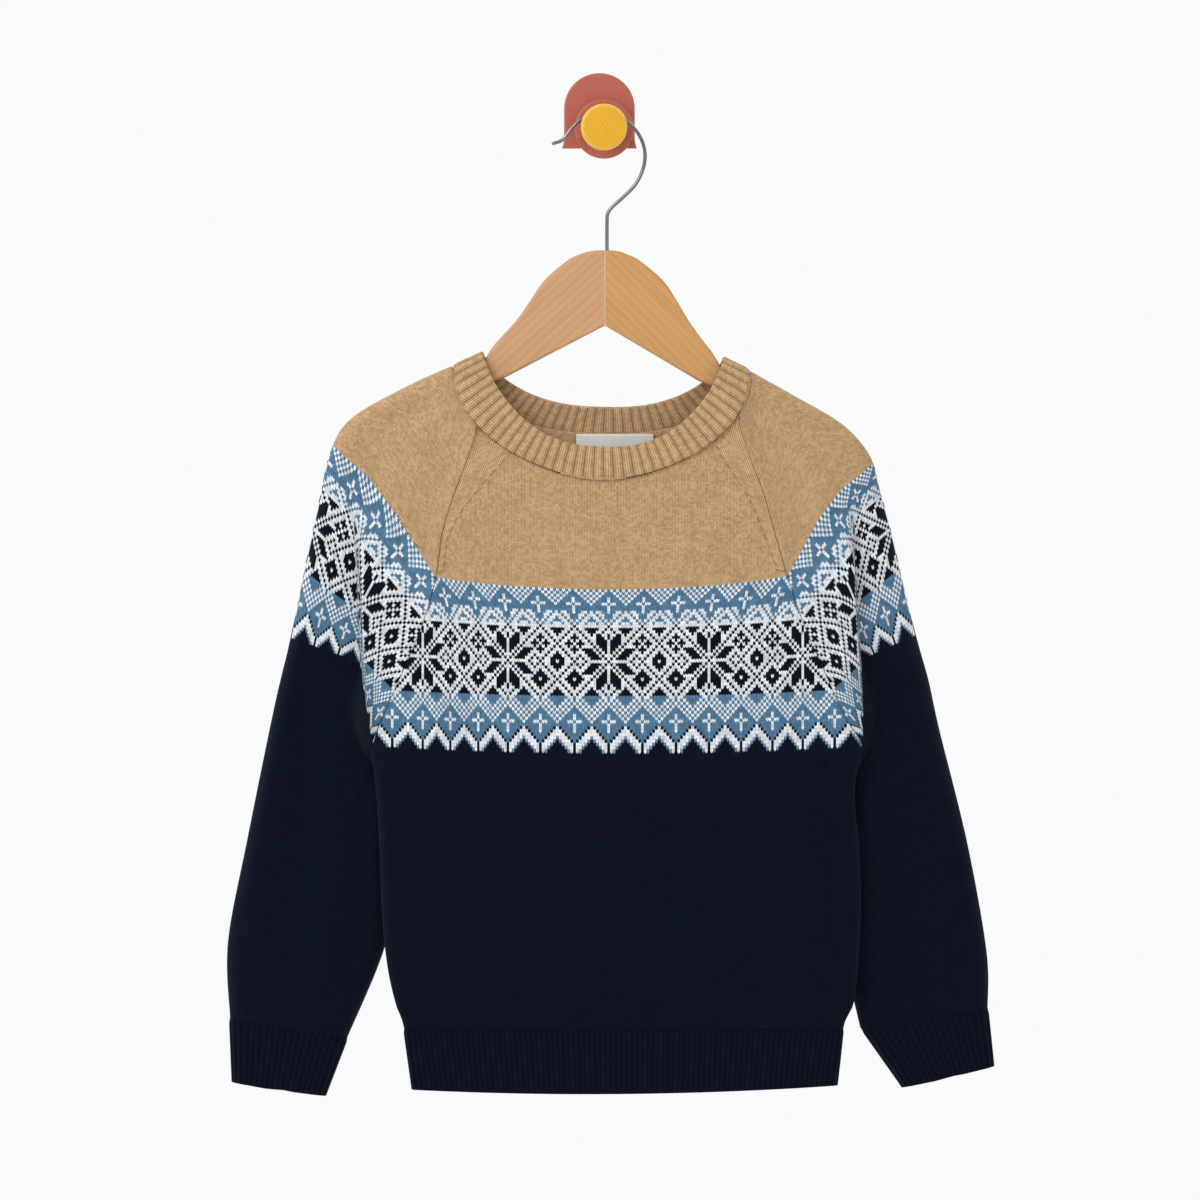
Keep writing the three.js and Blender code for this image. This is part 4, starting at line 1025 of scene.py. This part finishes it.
def sleeve(side):
    cloth = Cloth(seen_left_to_right=side == "right")
    yoke = range(SLEEVE_TOP_STEPS, 0, -1)
    arm = range(1, SLEEVE_LOW_STEPS + 1)
    cloth.knit(
        [sleeve_plain_line(cloth, side, 0, LAST_ROW, k / SLEEVE_TOP_STEPS) for k in yoke],
        [sleeve_band_line(cloth, side, row) for row in range(BAND_ROWS + 1)],
        [sleeve_plain_line(cloth, side, BAND_ROWS, 0, k / SLEEVE_LOW_STEPS) for k in arm],
    )
    return cloth.piece(f"sleeve_{side}_knit", PANEL_YARN)


for side in SIGN:
    made = sleeve(side)
    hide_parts(f"sleeve_{side}")
    print(made.name, len(made.data.polygons), "faces")

# %% [markdown]
# The neckband, the hem and the cuffs are ribbed tubes. Each rib is a real ridge with a rounded top
# and a narrow valley, which rises from nothing at the sewn edge, and the free edge turns over softly.
# One closed section runs down the outside, over the edge and up the inside, and is carried round the
# tube.

# %% Rib builder
RIB_WALL = 1.7
RIB_RAISE = 0.9
RIB_POINTS = 8
RIB_ROW = 1.5
LIP = 0.8
SEWN_EASE = 3.5
LIP_STEPS = ((0.6, 0.12), (1.0, 0.5), (0.6, 0.88))
RIB_CROWN = 0.7  # below 1 the ribs are broad and the valleys narrow
ALLOWANCE = ((2.3, 2.0), (1.75, 2.0), (1.75, -0.06), (0, -0.06))  # depth, and reach past the gap


def ribbed(
    name, material, yarn, loop, height, ribs, levels, inside_raise=0.0, free_at_top=False, gap=0.0,
):
    """A ribbed tube. loop(share, count) gives its line at a share of its height, from below.

    Where the tube is sewn on across a gap, a narrow seam allowance stands up inside the cloth.
    """
    count = ribs * RIB_POINTS
    shares = np.linspace(0, 1, levels)
    base = np.stack([loop(share, count) for share in shares])
    across = np.roll(base, -1, axis=1) - np.roll(base, 1, axis=1)
    upward = np.gradient(base, axis=0)
    out = np.cross(across, upward)
    out /= np.linalg.norm(out, axis=-1, keepdims=True)
    upward /= np.linalg.norm(upward, axis=-1, keepdims=True)
    turn = np.arange(count) / RIB_POINTS
    crest = np.sin(math.pi * (turn % 1)) ** RIB_CROWN
    groove = np.sin(math.pi * ((turn + 0.5) % 1)) ** RIB_CROWN
    from_seam = shares if free_at_top else 1 - shares
    grown = smooth(from_seam * height / SEWN_EASE)[:, None]
    outside = base + out * (RIB_RAISE * crest * grown)[..., None]
    inside = base - out * (RIB_WALL + inside_raise * groove * grown)[..., None]
    if not free_at_top:
        outside, inside, upward, shares = outside[::-1], inside[::-1], -upward[::-1], shares[::-1]
        base, out = base[::-1], out[::-1]
    lip = [
        mix(outside[-1], inside[-1], depth) + upward[-1] * LIP * reach for reach, depth in LIP_STEPS
    ]
    allowance = [
        base[0] - out[0] * depth - upward[0] * (gap + reach)
        for depth, reach in (ALLOWANCE if gap else ())
    ]
    rings = [*outside, *lip, *inside[::-1], *allowance]
    rows = [share * height / RIB_ROW for share in shares]
    rows = [*rows, *[rows[-1]] * len(lip), *rows[::-1], *[rows[0]] * len(allowance)]
    # The rib heights also darken the rib valleys in the shader, as painted shade.
    raised = [crest] * (levels + len(lip)) + [groove if inside_raise else np.ones(count)] * levels
    raised += [np.ones(count)] * len(allowance)
    stitches = np.concatenate([
        np.stack([2 * turn - 0.5, np.full(count, -row), heights], axis=-1)
        for row, heights in zip(rows, raised)
    ])
    faces = []
    for ring in range(len(rings)):
        low, high = ring * count, (ring + 1) % len(rings) * count
        for k in range(count):
            after = (k + 1) % count
            corners = [low + k, low + after, high + after, high + k]
            faces.append(corners if free_at_top else corners[::-1])
    made = add_object(name, np.concatenate(rings), faces, material)
    paint(made, stitches, [yarn] * len(faces))
    return made


print(2 * RIB_RAISE, "mm from rib to rib through both sides of a tube")

# %% [markdown]
# The neckband stands on the neckline with its free edge up. It is ribbed on both sides, because its
# inside shows at the back of the neck, and it bulges a little between its two edges.

# %% Neckband
NECK_BULGE = 0.8
NECK_RIBS = 76
NECK_HEIGHT = 20


def neck_line(share, count):
    line = mix(neck_loop(NECK["sewn"], count), neck_loop(NECK["free"], count), share)
    outwards = line - np.array([NECK["sewn"]["middle"], HANGER_Y, 0])
    outwards[:, 2] = 0
    outwards /= np.linalg.norm(outwards, axis=1, keepdims=True)
    return line + outwards * np.array([0.2, 1, 0]) * NECK_BULGE * math.sin(math.pi * share)


neck = ribbed(
    "neck_rib_knit", CAMEL_RIB, "C", neck_line, NECK_HEIGHT, NECK_RIBS, 13, inside_raise=0.5,
    free_at_top=True,
)
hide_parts("neck_rib")
print("neckband", len(neck.data.polygons), "faces")

# %% [markdown]
# The hem rib draws the body in, so its lower edge is narrower and thinner than its sewn edge and
# hangs a little lower in the middle.

# %% Hem
HEM_HEIGHT = 38.5
HEM_SAG = 4.2
HEM_TILT = -1.4
HEM_THIN_Y = SIDE_FOLD_Y + 7
HEM_THIN_SHARE = 0.86
HEM_LOW = (-127, 154.2)
HEM_TOP = (-132.5, 158.5)
HEM_RIBS = 168


def hem_line(share, count):
    """share runs from 0 at the lower edge to 1 at the panels."""
    x = np.linspace(HEM_TOP[0] + 0.4, HEM_TOP[1] - 0.4, 400)
    level = np.full_like(x, -BODY_ROWS)
    section = np.vstack([panel_point("front", level, x), panel_point("back", level, x)[::-1]])
    u = (section[:, 0] - HEM_TOP[0]) / (HEM_TOP[1] - HEM_TOP[0])
    down = 1 - share
    sag = (HEM_SAG * (1 - (2 * u - 1) ** 2) + HEM_TILT * (2 * u - 1)) * down
    moved = section.copy()
    moved[:, 0] = mix(section[:, 0], mix(HEM_LOW[0], HEM_LOW[1], u), down)
    moved[:, 1] = mix(section[:, 1], mix(HEM_THIN_Y, section[:, 1], HEM_THIN_SHARE), down)
    moved[:, 2] -= SEAM_GAP + down * HEM_HEIGHT + sag
    return even_walk(moved, count)


hem = ribbed("hem_rib_knit", NAVY_RIB, "N", hem_line, HEM_HEIGHT, HEM_RIBS, 14, gap=SEAM_GAP)
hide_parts("hem_rib")
print("hem", len(hem.data.polygons), "faces")

# %% [markdown]
# Each cuff goes on from the last section of its sleeve to the two ends of its own lower edge, which
# are read off the photograph for the two sides.

# %% Cuffs
CUFF_END = {
    "left": dict(out=(-245.8, -642), inner=(-184.5, -651)),
    "right": dict(out=(257.8, -631.5), inner=(197.5, -645.5)),
}
CUFF_THIN = 0.8
CUFF_RIBS = 40


def cuff_line(side, share, count):
    """share runs from 0 at the lower edge to 1 at the sleeve."""
    around = np.linspace(0, 4, 400, endpoint=False)
    section = sleeve_point(side, 0.0, around)
    if side == "left":
        section = section[::-1]
    first = {name: SLEEVES[side][name][0] for name in ("out_x", "out_z", "seam_x", "seam_z", "seam_y")}
    start = np.array([first["out_x"], first["out_z"]])
    axis = np.array([first["seam_x"], first["seam_z"]]) - start
    flat = section[:, [0, 2]]
    away = flat - start
    u = away @ axis / (axis @ axis)
    bow = np.abs(away[:, 0] * axis[1] - away[:, 1] * axis[0]) / math.hypot(*axis)
    end_out, end_inner = np.array(CUFF_END[side]["out"]), np.array(CUFF_END[side]["inner"])
    low = end_out + (end_inner - end_out) * u[:, None]
    low[:, 1] -= bow
    down = low - flat
    gap = NECK_CLEAR / np.linalg.norm(down, axis=1, keepdims=True)
    moved = flat + down * mix(gap, 1, 1 - share)
    y = mix(section[:, 1], mix(first["seam_y"], section[:, 1], CUFF_THIN), 1 - share)
    return even_walk(np.stack([moved[:, 0], y, moved[:, 1]], axis=-1), count)


for side in SIGN:
    cuff = ribbed(
        f"cuff_{side}_knit", NAVY_RIB, "N",
        lambda share, count, side=side: cuff_line(side, share, count),
        HEM_HEIGHT, CUFF_RIBS, 14, gap=NECK_CLEAR,
    )
    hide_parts(f"cuff_{side}")
    print(cuff.name, len(cuff.data.polygons), "faces")

# %% [markdown]
# The woven label is a folded strip sewn to the inside of the back neck, free at its lower edge, where
# it ripples a little. It is left bare, so that only its fine weave shows.

# %% Label
LABEL = dict(left=-18.5, right=33, top=-213.5, height=17, clear=0.35, wall=1.0)
LABEL_COLUMNS = 40
LABEL_ROWS = 12
LABEL_COLOUR = linear(232, 232, 230)
LABEL_FOLD = 0.8
THREAD_SCALE = 14000.0
RIPPLE = dict(depth=0.5, length=7.5, rise=10)


def label_material():
    shader = Shader("woven_label")
    here = shader.place()
    split = shader.add("SeparateXYZ", {0: here})
    warp = shader.math("SINE", shader.math("MULTIPLY", split.outputs[0], THREAD_SCALE))
    weft = shader.math("SINE", shader.math("MULTIPLY", split.outputs[2], THREAD_SCALE))
    weave = shader.math("MULTIPLY", warp, weft)
    clouds = shader.noise(here, 300.0)
    # The weave makes the raised thread crossings lighter and the hollows darker, as painted light and
    # shade.
    shade = shader.math("ADD", shader.between(clouds, 0.9, 1.05), shader.math("MULTIPLY", weave, 0.05))
    shader.bump(weave, 0.1 * MM)
    return shader.finish(base_color=shader.scaled(LABEL_COLOUR, shade), roughness=0.6, sheen_weight=0.2)


def label_point(x, z):
    wave = np.sin((x - LABEL["left"]) / RIPPLE["length"])
    ripple = RIPPLE["depth"] * wave * smooth((LABEL["top"] - z) / RIPPLE["rise"])
    y = back_depth(x, z) - CLOTH - LABEL["clear"] - LABEL["wall"] - np.maximum(0, ripple)
    return np.stack(np.broadcast_arrays(x, y, z), axis=-1)


def label():
    u = np.linspace(0, 1, LABEL_COLUMNS + 1)
    x = mix(LABEL["left"], LABEL["right"], u)
    heights = [LABEL["top"] - LABEL["height"] * k / LABEL_ROWS for k in range(LABEL_ROWS + 1)]
    rows = [label_point(x, z) for z in heights]
    wide = LABEL_COLUMNS + 1
    faces = [
        [(k + 1) * wide + i, (k + 1) * wide + i + 1, k * wide + i + 1, k * wide + i]
        for k in range(LABEL_ROWS) for i in range(LABEL_COLUMNS)
    ]
    made = add_object("label_woven", np.concatenate(rows), faces, label_material())
    shell = made.modifiers.new("fold", "SOLIDIFY")
    shell.thickness = LABEL_FOLD * MM
    shell.offset = -1
    return made


tag = label()
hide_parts("neck_label")
print("label", round((LABEL["right"] - LABEL["left"]), 1), "mm wide")

# %% [markdown]
# Three helpers shape boards and wires: a smooth line through points, a curve with two handles for a
# round end, and a board cut to an outline, with rounded edges except at a sawn mitre.

# %% Board helpers
EDGE_STEPS = 5
CUT_EASE = 0.15  # how much of the rounding is left where a board is sawn off


def spline(points, steps):
    """A smooth line through points, as an array."""
    rows = {axis: np.array([point[axis] for point in points], float) for axis in range(len(points[0]))}
    at = np.linspace(0, len(points) - 1, (len(points) - 1) * steps + 1)
    return np.stack([column_at(rows, axis, at) for axis in rows], axis=-1)


def bezier(start, first, second, end, steps):
    t = np.linspace(0, 1, steps + 1)[1:, None]
    points = [np.array(point, float) for point in (start, first, second, end)]
    weights = [(1 - t) ** 3, 3 * t * (1 - t) ** 2, 3 * t**2 * (1 - t), t**3]
    return sum(weight * point for weight, point in zip(weights, points))


def slab(name, outline, rear_y, front_y, edge, material, square_at=()):
    """A board with the given outline in x and z and rounded edges. square_at lists its cut ends."""
    outline = np.asarray(outline, float)
    area = np.sum(outline[:, 0] * np.roll(outline[:, 1], -1) - np.roll(outline[:, 0], -1) * outline[:, 1])
    if area < 0:
        outline = outline[::-1]
    ahead = np.roll(outline, -1, axis=0) - outline
    behind = outline - np.roll(outline, 1, axis=0)
    ahead /= np.linalg.norm(ahead, axis=1, keepdims=True)
    behind /= np.linalg.norm(behind, axis=1, keepdims=True)
    tangent = ahead + behind
    tangent /= np.linalg.norm(tangent, axis=1, keepdims=True)
    inward = np.stack([-tangent[:, 1], tangent[:, 0]], axis=-1)
    for place in square_at:
        on_cut = np.abs(outline[:, 0] - place) < 0.01
        inward[on_cut, 0] *= CUT_EASE
    rings = []
    angles = np.linspace(0, math.pi / 2, EDGE_STEPS + 1)
    for y, sign, order in ((rear_y, 1, angles), (front_y, -1, angles[::-1])):
        for angle in order:
            ring = outline + inward * edge * (1 - math.sin(angle))
            depth = y - sign * edge * (1 - math.cos(angle))
            rings.append(np.stack([ring[:, 0], np.full(len(ring), depth), ring[:, 1]], axis=-1))
    count = len(outline)
    faces = [list(range(count))[::-1], [(len(rings) - 1) * count + k for k in range(count)]]
    for ring in range(len(rings) - 1):
        for k in range(count):
            after = (k + 1) % count
            faces.append([ring * count + k, ring * count + after, (ring + 1) * count + after,
                          (ring + 1) * count + k])
    made = add_object(name, np.concatenate(rings), faces, material)
    made.data.polygons[0].use_smooth = False
    made.data.polygons[1].use_smooth = False
    return made


print("board edges are rounded in", EDGE_STEPS, "steps")

# %% [markdown]
# Each half of the hanger comes from its own board, so one is paler and pinker than the other. The
# place is turned first and stretched afterwards, so that the grain runs along the arm.

# %% Wood material
WOOD_COLOURS = {
    "left": (linear(192, 149, 106), linear(160, 112, 72)),
    "right": (linear(194, 146, 88), linear(158, 108, 56)),
}


def wood_material(side, angle):
    """Long grain along an arm, which slopes at an angle, with fine pores and a satin finish."""
    light, dark = WOOD_COLOURS[side]
    shader = Shader(f"wood_{side}")
    along = shader.stretch(shader.place(rotation=(0, angle, 0)), (5, 60, 60))
    fine = shader.stretch(shader.place(rotation=(0, angle, 0)), (60, 900, 900))
    wander = shader.noise(along, 2.4, detail=3.0)
    rings = shader.add(
        "TexWave", {"Vector": along, "Scale": 1.1, "Distortion": 3.0, "Detail": 2.0, "Detail Scale": 1.2},
        wave_type="BANDS", bands_direction="Z", wave_profile="SAW",
    ).outputs["Fac"]
    pores = shader.noise(fine, 3.0, detail=3.0, roughness=0.7)
    amount = shader.math("ADD", shader.between(rings, 0.0, 0.3), shader.between(wander, 0.0, 0.5))
    grain = shader.blend(amount, light, dark)
    shader.bump(shader.math("ADD", pores, shader.math("MULTIPLY", rings, 0.4)), 0.12 * MM)
    return shader.finish(
        base_color=shader.scaled(grain, shader.between(pores, 0.86, 1.1)),
        roughness=shader.between(pores, 0.42, 0.6), specular_ior_level=0.4, coat_weight=0.12,
        coat_roughness=0.35,
    )


print(len(WOOD_COLOURS), "boards")

# %% [markdown]
# The hanger is two sawn boards, mitred in the middle. The outline of each follows the real one: a
# round crown, a hollow shoulder and an arm that slopes down to a round tip inside the sleeve.

# %% Hanger wood
WOOD_THICKNESS = 9
WOOD_EDGE = 2.0
ARM_POINT = 9  # the grain runs from the crown to this point of the outline
MITRE_X = 0.6
CROWN_Z = -92
NOTCH_Z = -142
TIP_RADIUS = 7
TIP_DROP = 3.5
HALF_TOP = {
    "left": [
        (-8.6, -92.6), (-16.5, -95), (-24.4, -99), (-39.6, -112.2), (-48.8, -125.4), (-58, -138.6),
        (-70.6, -152.4), (-75, -158), (-78, -162.8), (-83, -167.4), (-100, -173), (-123.4, -184),
        (-142, -194.6),
    ],
    "right": [
        (9.2, -92.6), (16, -95), (23.8, -99), (39, -112), (48.2, -125.4), (56, -138.6),
        (66, -152.4), (71, -158.8), (75, -165), (79, -170.2), (96, -176.6), (110, -183.4),
        (131, -196),
    ],
}
TIP = {"left": (-139, -205.5, -65, -176), "right": (128, -207, 62, -178.2)}


def hanger_half(side):
    sign = SIGN[side]
    start = MITRE_X + sign * SEAM_GAP / 2
    tip_x, tip_z, inner_x, inner_z = TIP[side]
    top = spline([(start, CROWN_Z), *HALF_TOP[side]], 6)
    from_x, from_z = HALF_TOP[side][-1]
    reach = sign * TIP_RADIUS
    handles = (from_x + reach, from_z - TIP_DROP), (tip_x + reach, tip_z)
    end = bezier((from_x, from_z), *handles, (tip_x, tip_z), 10)
    under = spline([(tip_x, tip_z), (inner_x, inner_z), (start, NOTCH_Z)], 1)[1:]
    outline = np.vstack([top, end, under])
    foot_x, foot_z = HALF_TOP[side][ARM_POINT]
    angle = math.atan2(foot_z - CROWN_Z, foot_x - start)
    front_y, rear_y = HANGER_Y - WOOD_THICKNESS / 2, HANGER_Y + WOOD_THICKNESS / 2
    material = wood_material(side, angle)
    return slab(f"hanger_{side}_wood", outline, rear_y, front_y, WOOD_EDGE, material, (start,))


for side in SIGN:
    half = hanger_half(side)
    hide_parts(f"hanger_half_{side}")
    print(half.name, len(half.data.polygons), "faces")

# %% [markdown]
# The hook is one bent steel wire: an open round hook, a small bend and a straight stem that goes
# into the crown of the hanger.

# %% Hanger wire
WIRE_RADIUS = 1.2
WIRE_SIDES = 14
WIRE_END = ((1.0, 0.15), (0.87, 0.5), (0.5, 0.87))  # how far past the end, and how wide there
WIRE_ROUTE = [
    (-33.4, -21.4), (-27.2, -18.9), (-22.4, -12.6), (-15.4, -5.6), (-8.6, -2.5), (-0.8, -1.75),
    (8, -3.2), (15.6, -7.4), (21.8, -13.6), (25.9, -21.6), (27.2, -30.4), (25.3, -39.9),
    (20.6, -48.8), (13, -56.7), (5.4, -63.6), (2.5, -68), (2, -75), (2, -92), (2, -112),
]


def tube_faces(rings, sides):
    """The faces between rings of points and over both ends."""
    faces = []
    for ring in range(rings - 1):
        low, high = ring * sides, (ring + 1) * sides
        for k in range(sides):
            after = (k + 1) % sides
            faces.append([low + k, low + after, high + after, high + k])
    last = (rings - 1) * sides
    return [*faces, list(range(sides))[::-1], [last + k for k in range(sides)]]


def sweep(name, route, radius, material):
    """A round wire along a route of points in millimetres, with rounded ends."""
    route = np.asarray(route, float)
    ahead = np.gradient(route, axis=0)
    ahead /= np.linalg.norm(ahead, axis=1, keepdims=True)
    beyond, narrow = np.array(WIRE_END).T * radius
    start = route[0] - ahead[0] * beyond[:, None]
    end = route[-1] + ahead[-1] * beyond[::-1, None]
    radii = np.concatenate([narrow, np.full(len(route), radius), narrow[::-1]])
    route = np.vstack([start, route, end])
    ahead = np.vstack([ahead[:1]] * len(start) + [ahead] + [ahead[-1:]] * len(end))
    side = np.cross(ahead, np.array([0, 1.0, 0.02]))
    side /= np.linalg.norm(side, axis=1, keepdims=True)
    other = np.cross(side, ahead)
    angles = np.arange(WIRE_SIDES) / WIRE_SIDES * 2 * math.pi
    points = [
        centre + r * (math.cos(angle) * a + math.sin(angle) * b)
        for centre, r, a, b in zip(route, radii, side, other) for angle in angles
    ]
    return add_object(name, points, tube_faces(len(route), WIRE_SIDES), material)


def steel_material():
    shader = Shader("wire_steel")
    here = shader.place()
    drawn = shader.noise(here, 600.0, detail=3.0)
    dull = shader.noise(here, 60.0)
    shader.bump(drawn, 0.05 * MM)
    return shader.finish(
        base_color=shader.blend(dull, linear(138, 136, 131), linear(84, 82, 78)), metallic=1.0,
        roughness=shader.between(drawn, 0.22, 0.4),
    )


route = [(x, HANGER_Y, z) for x, z in spline(WIRE_ROUTE, 8)]
wire = sweep("hanger_wire_steel", route, WIRE_RADIUS, steel_material())
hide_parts("hanger_wire")
print("wire", len(route), "sections")

# %% [markdown]
# The collar, the peg and the cap of the wall hook are turned: each is a profile of radius and depth,
# with rounded edges, carried round the peg's axis.

# %% Turned pieces
PEG_Z = -11.2
LATHE_SIDES = 96


def turned(name, profile, material):
    """A closed round piece about the peg's axis from a profile of radius and y, from front to back."""
    profile = np.asarray(profile, float)
    angles = np.arange(LATHE_SIDES) / LATHE_SIDES * 2 * math.pi
    points = [
        (r * math.cos(angle), y, PEG_Z + r * math.sin(angle)) for r, y in profile for angle in angles
    ]
    faces = tube_faces(len(profile), LATHE_SIDES)
    return add_object(name, points, [face[::-1] for face in faces], material)


def round_profile(radius, front_y, back_y, edge):
    """Front face, rounded front edge, side and rounded back edge of a disc."""
    angles = np.linspace(0, math.pi / 2, 7)
    front = [(radius - edge + edge * math.sin(a), front_y + edge * (1 - math.cos(a))) for a in angles]
    rear = [(r, back_y - (y - front_y)) for r, y in front[::-1]]
    return [(0.2, front_y), (radius * 0.4, front_y), (radius * 0.8, front_y), *front, *rear, (0.2, back_y)]


print("turned pieces have", LATHE_SIDES, "sides")

# %% [markdown]
# The plate and the peg are painted a dull brick red. The cap is moulded plastic, whose face has fine
# slanting grooves and turns paler towards its rim.

# %% Hook materials
CAP_RADIUS = 15.3
CAP_RIM = 2.2


def paint_material(name, base, worn, speckle):
    """Satin paint with slight brush marks and a worn tone where it is thin."""
    shader = Shader(name)
    here = shader.place()
    brush = shader.noise(shader.place(scale=(300, 300, 60)), 4.0, detail=3.0)
    patches = shader.noise(here, 90.0, detail=4.0)
    tone = shader.blend(shader.math("MULTIPLY", patches, speckle), base, worn)
    shader.bump(brush, 0.08 * MM)
    return shader.finish(
        base_color=shader.scaled(tone, shader.between(brush, 0.93, 1.06)),
        roughness=shader.between(patches, 0.38, 0.6), specular_ior_level=0.4,
    )


def cap_material():
    """Moulded plastic with fine slanting grooves on its face, which turns paler towards its rim."""
    shader = Shader("cap_plastic")
    here = shader.place()
    turned_place = shader.place(rotation=(0, math.radians(38), 0))
    split = shader.add("SeparateXYZ", {0: turned_place})
    grooves = shader.math("SINE", shader.math("MULTIPLY", split.outputs[0], 2700.0))
    clouds = shader.noise(here, 140.0, detail=3.0)
    centre = shader.add("VectorMath", {0: here, 1: (0.0, 0.0, -PEG_Z * MM)}, operation="ADD").outputs[0]
    flat = shader.add("VectorMath", {0: centre, 1: (1.0, 0.0, 1.0)}, operation="MULTIPLY").outputs[0]
    radius = shader.add("VectorMath", {0: flat}, operation="LENGTH").outputs["Value"]
    start = shader.math("SUBTRACT", radius, (CAP_RADIUS - CAP_RIM) * MM)
    rim = shader.add("Math", {0: shader.math("MULTIPLY", start, 900.0), 1: 0.0}, operation="ADD",
                     use_clamp=True).outputs[0]
    body = shader.blend(shader.between(grooves, 0.0, 0.3), linear(208, 154, 9), linear(170, 114, 3))
    # The face is paler towards its rim.
    tone = shader.blend(shader.math("MULTIPLY", rim, 0.55), body, linear(216, 180, 66))
    shader.bump(shader.math("ADD", grooves, shader.math("MULTIPLY", clouds, 0.2)), 0.1 * MM)
    return shader.finish(
        base_color=shader.scaled(tone, shader.between(clouds, 0.92, 1.06)), roughness=0.42,
        specular_ior_level=0.45, subsurface_weight=0.05,
    )


HOOK_PAINT = paint_material("hook_paint", linear(170, 88, 71), linear(150, 71, 57), 0.7)
print("paint and plastic")

# %% [markdown]
# The plate is an arch on a straight foot that flares a little at both corners. Collar, peg and cap
# stand on it in a row, each a seam's width from the last, and the wire hangs over the peg.

# %% Wall hook
PLATE_DEPTH = 8
COLLAR_DEPTH = 6
COLLAR_RADIUS = 19.8
PEG_RADIUS = 7.8
PEG_REACH = 34
CAP_DEPTH = 12
PLATE = dict(middle=-3, radius=23.4, arch_z=2.5, bottom_z=-24, flare=1.4, flare_height=8)


def plate_outline():
    """The arch from right to left, and the foot back to the right."""
    left, right = PLATE["middle"] - PLATE["radius"], PLATE["middle"] + PLATE["radius"]
    angles = np.linspace(0, math.pi, 49)
    arch = [
        (PLATE["middle"] + PLATE["radius"] * math.cos(a), PLATE["arch_z"] + PLATE["radius"] * math.sin(a))
        for a in angles
    ]
    share = np.linspace(0, 1, 7)[1:]
    drop = PLATE["flare_height"] * (1 - share)
    foot = list(zip(left - PLATE["flare"] * share**2, PLATE["bottom_z"] + drop))
    other = list(zip(right + PLATE["flare"] * share**2, PLATE["bottom_z"] + drop))
    return [*arch, *foot, *other[::-1]]


plate = slab("wall_plate_painted", plate_outline(), 0, -PLATE_DEPTH, 1.2, HOOK_PAINT)
collar_front = -PLATE_DEPTH - COLLAR_DEPTH
collar_profile = round_profile(COLLAR_RADIUS, collar_front, -PLATE_DEPTH - SEAM_GAP, 1.6)
peg_profile = round_profile(PEG_RADIUS, -PEG_REACH, collar_front - SEAM_GAP, 0.8)
cap_profile = round_profile(CAP_RADIUS, -PEG_REACH - CAP_DEPTH, -PEG_REACH - SEAM_GAP, 2.4)
collar = turned("wall_collar_painted", collar_profile, HOOK_PAINT)
peg = turned("wall_peg_painted", peg_profile, HOOK_PAINT)
cap = turned("peg_cap_moulded", cap_profile, cap_material())
for piece, node, slot in (
    (plate, "wall_plate", "hook_paint"), (collar, "wall_collar", "hook_paint"),
    (peg, "wall_peg", "hook_paint"), (cap, "peg_cap", "cap_plastic"),
):
    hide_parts(node)
print("wall hook of four pieces")

# %% [markdown]
# The stage is a pale floor far below the jumper, a near-white world and three large soft lights: a
# key from the upper left, a weak fill from the right and one behind for the back.

# %% Stage and light
FLOOR_Z = -1.15
FLOOR_HALF = 1.3


def floor_material():
    shader = Shader("pale_floor")
    grain = shader.noise(shader.place(), 25.0, detail=4.0)
    tone = shader.scaled(linear(238, 238, 236), shader.between(grain, 0.97, 1.02))
    return shader.finish(base_color=tone, roughness=0.85)


def area_light(name, place, target, size, power):
    data = bpy.data.lights.new(name, "AREA")
    data.shape = "DISK"
    data.size = size
    data.energy = power
    lamp = bpy.data.objects.new(name, data)
    lamp.location = place
    lamp.rotation_mode = "QUATERNION"
    lamp.rotation_quaternion = (Vector(target) - Vector(place)).to_track_quat("-Z", "Y")
    bpy.context.scene.collection.objects.link(lamp)


def stage():
    mesh = bpy.data.meshes.new("pale_floor")
    corners = [(x * FLOOR_HALF, y * FLOOR_HALF, FLOOR_Z) for x, y in ((-1, -1), (1, -1), (1, 1), (-1, 1))]
    mesh.from_pydata(corners, [], [(0, 1, 2, 3)])
    mesh.materials.append(floor_material())
    floor = bpy.data.objects.new("pale_floor", mesh)
    bpy.context.scene.collection.objects.link(floor)
    middle = (0.0, 0.0, -0.35)
    area_light("key", (-1.7, -1.9, 1.2), middle, 1.3, 44)
    area_light("fill", (1.9, -2.0, 0.1), middle, 2.0, 5)
    area_light("behind", (0.6, 2.4, 0.9), middle, 2.0, 30)
    world = bpy.data.worlds.new("studio")
    world.use_nodes = True
    background = world.node_tree.nodes["Background"]
    background.inputs["Color"].default_value = (0.985, 0.99, 1.0, 1)
    background.inputs["Strength"].default_value = 0.97
    bpy.context.scene.world = world


stage()
bpy.context.scene.view_settings.view_transform = "Standard"
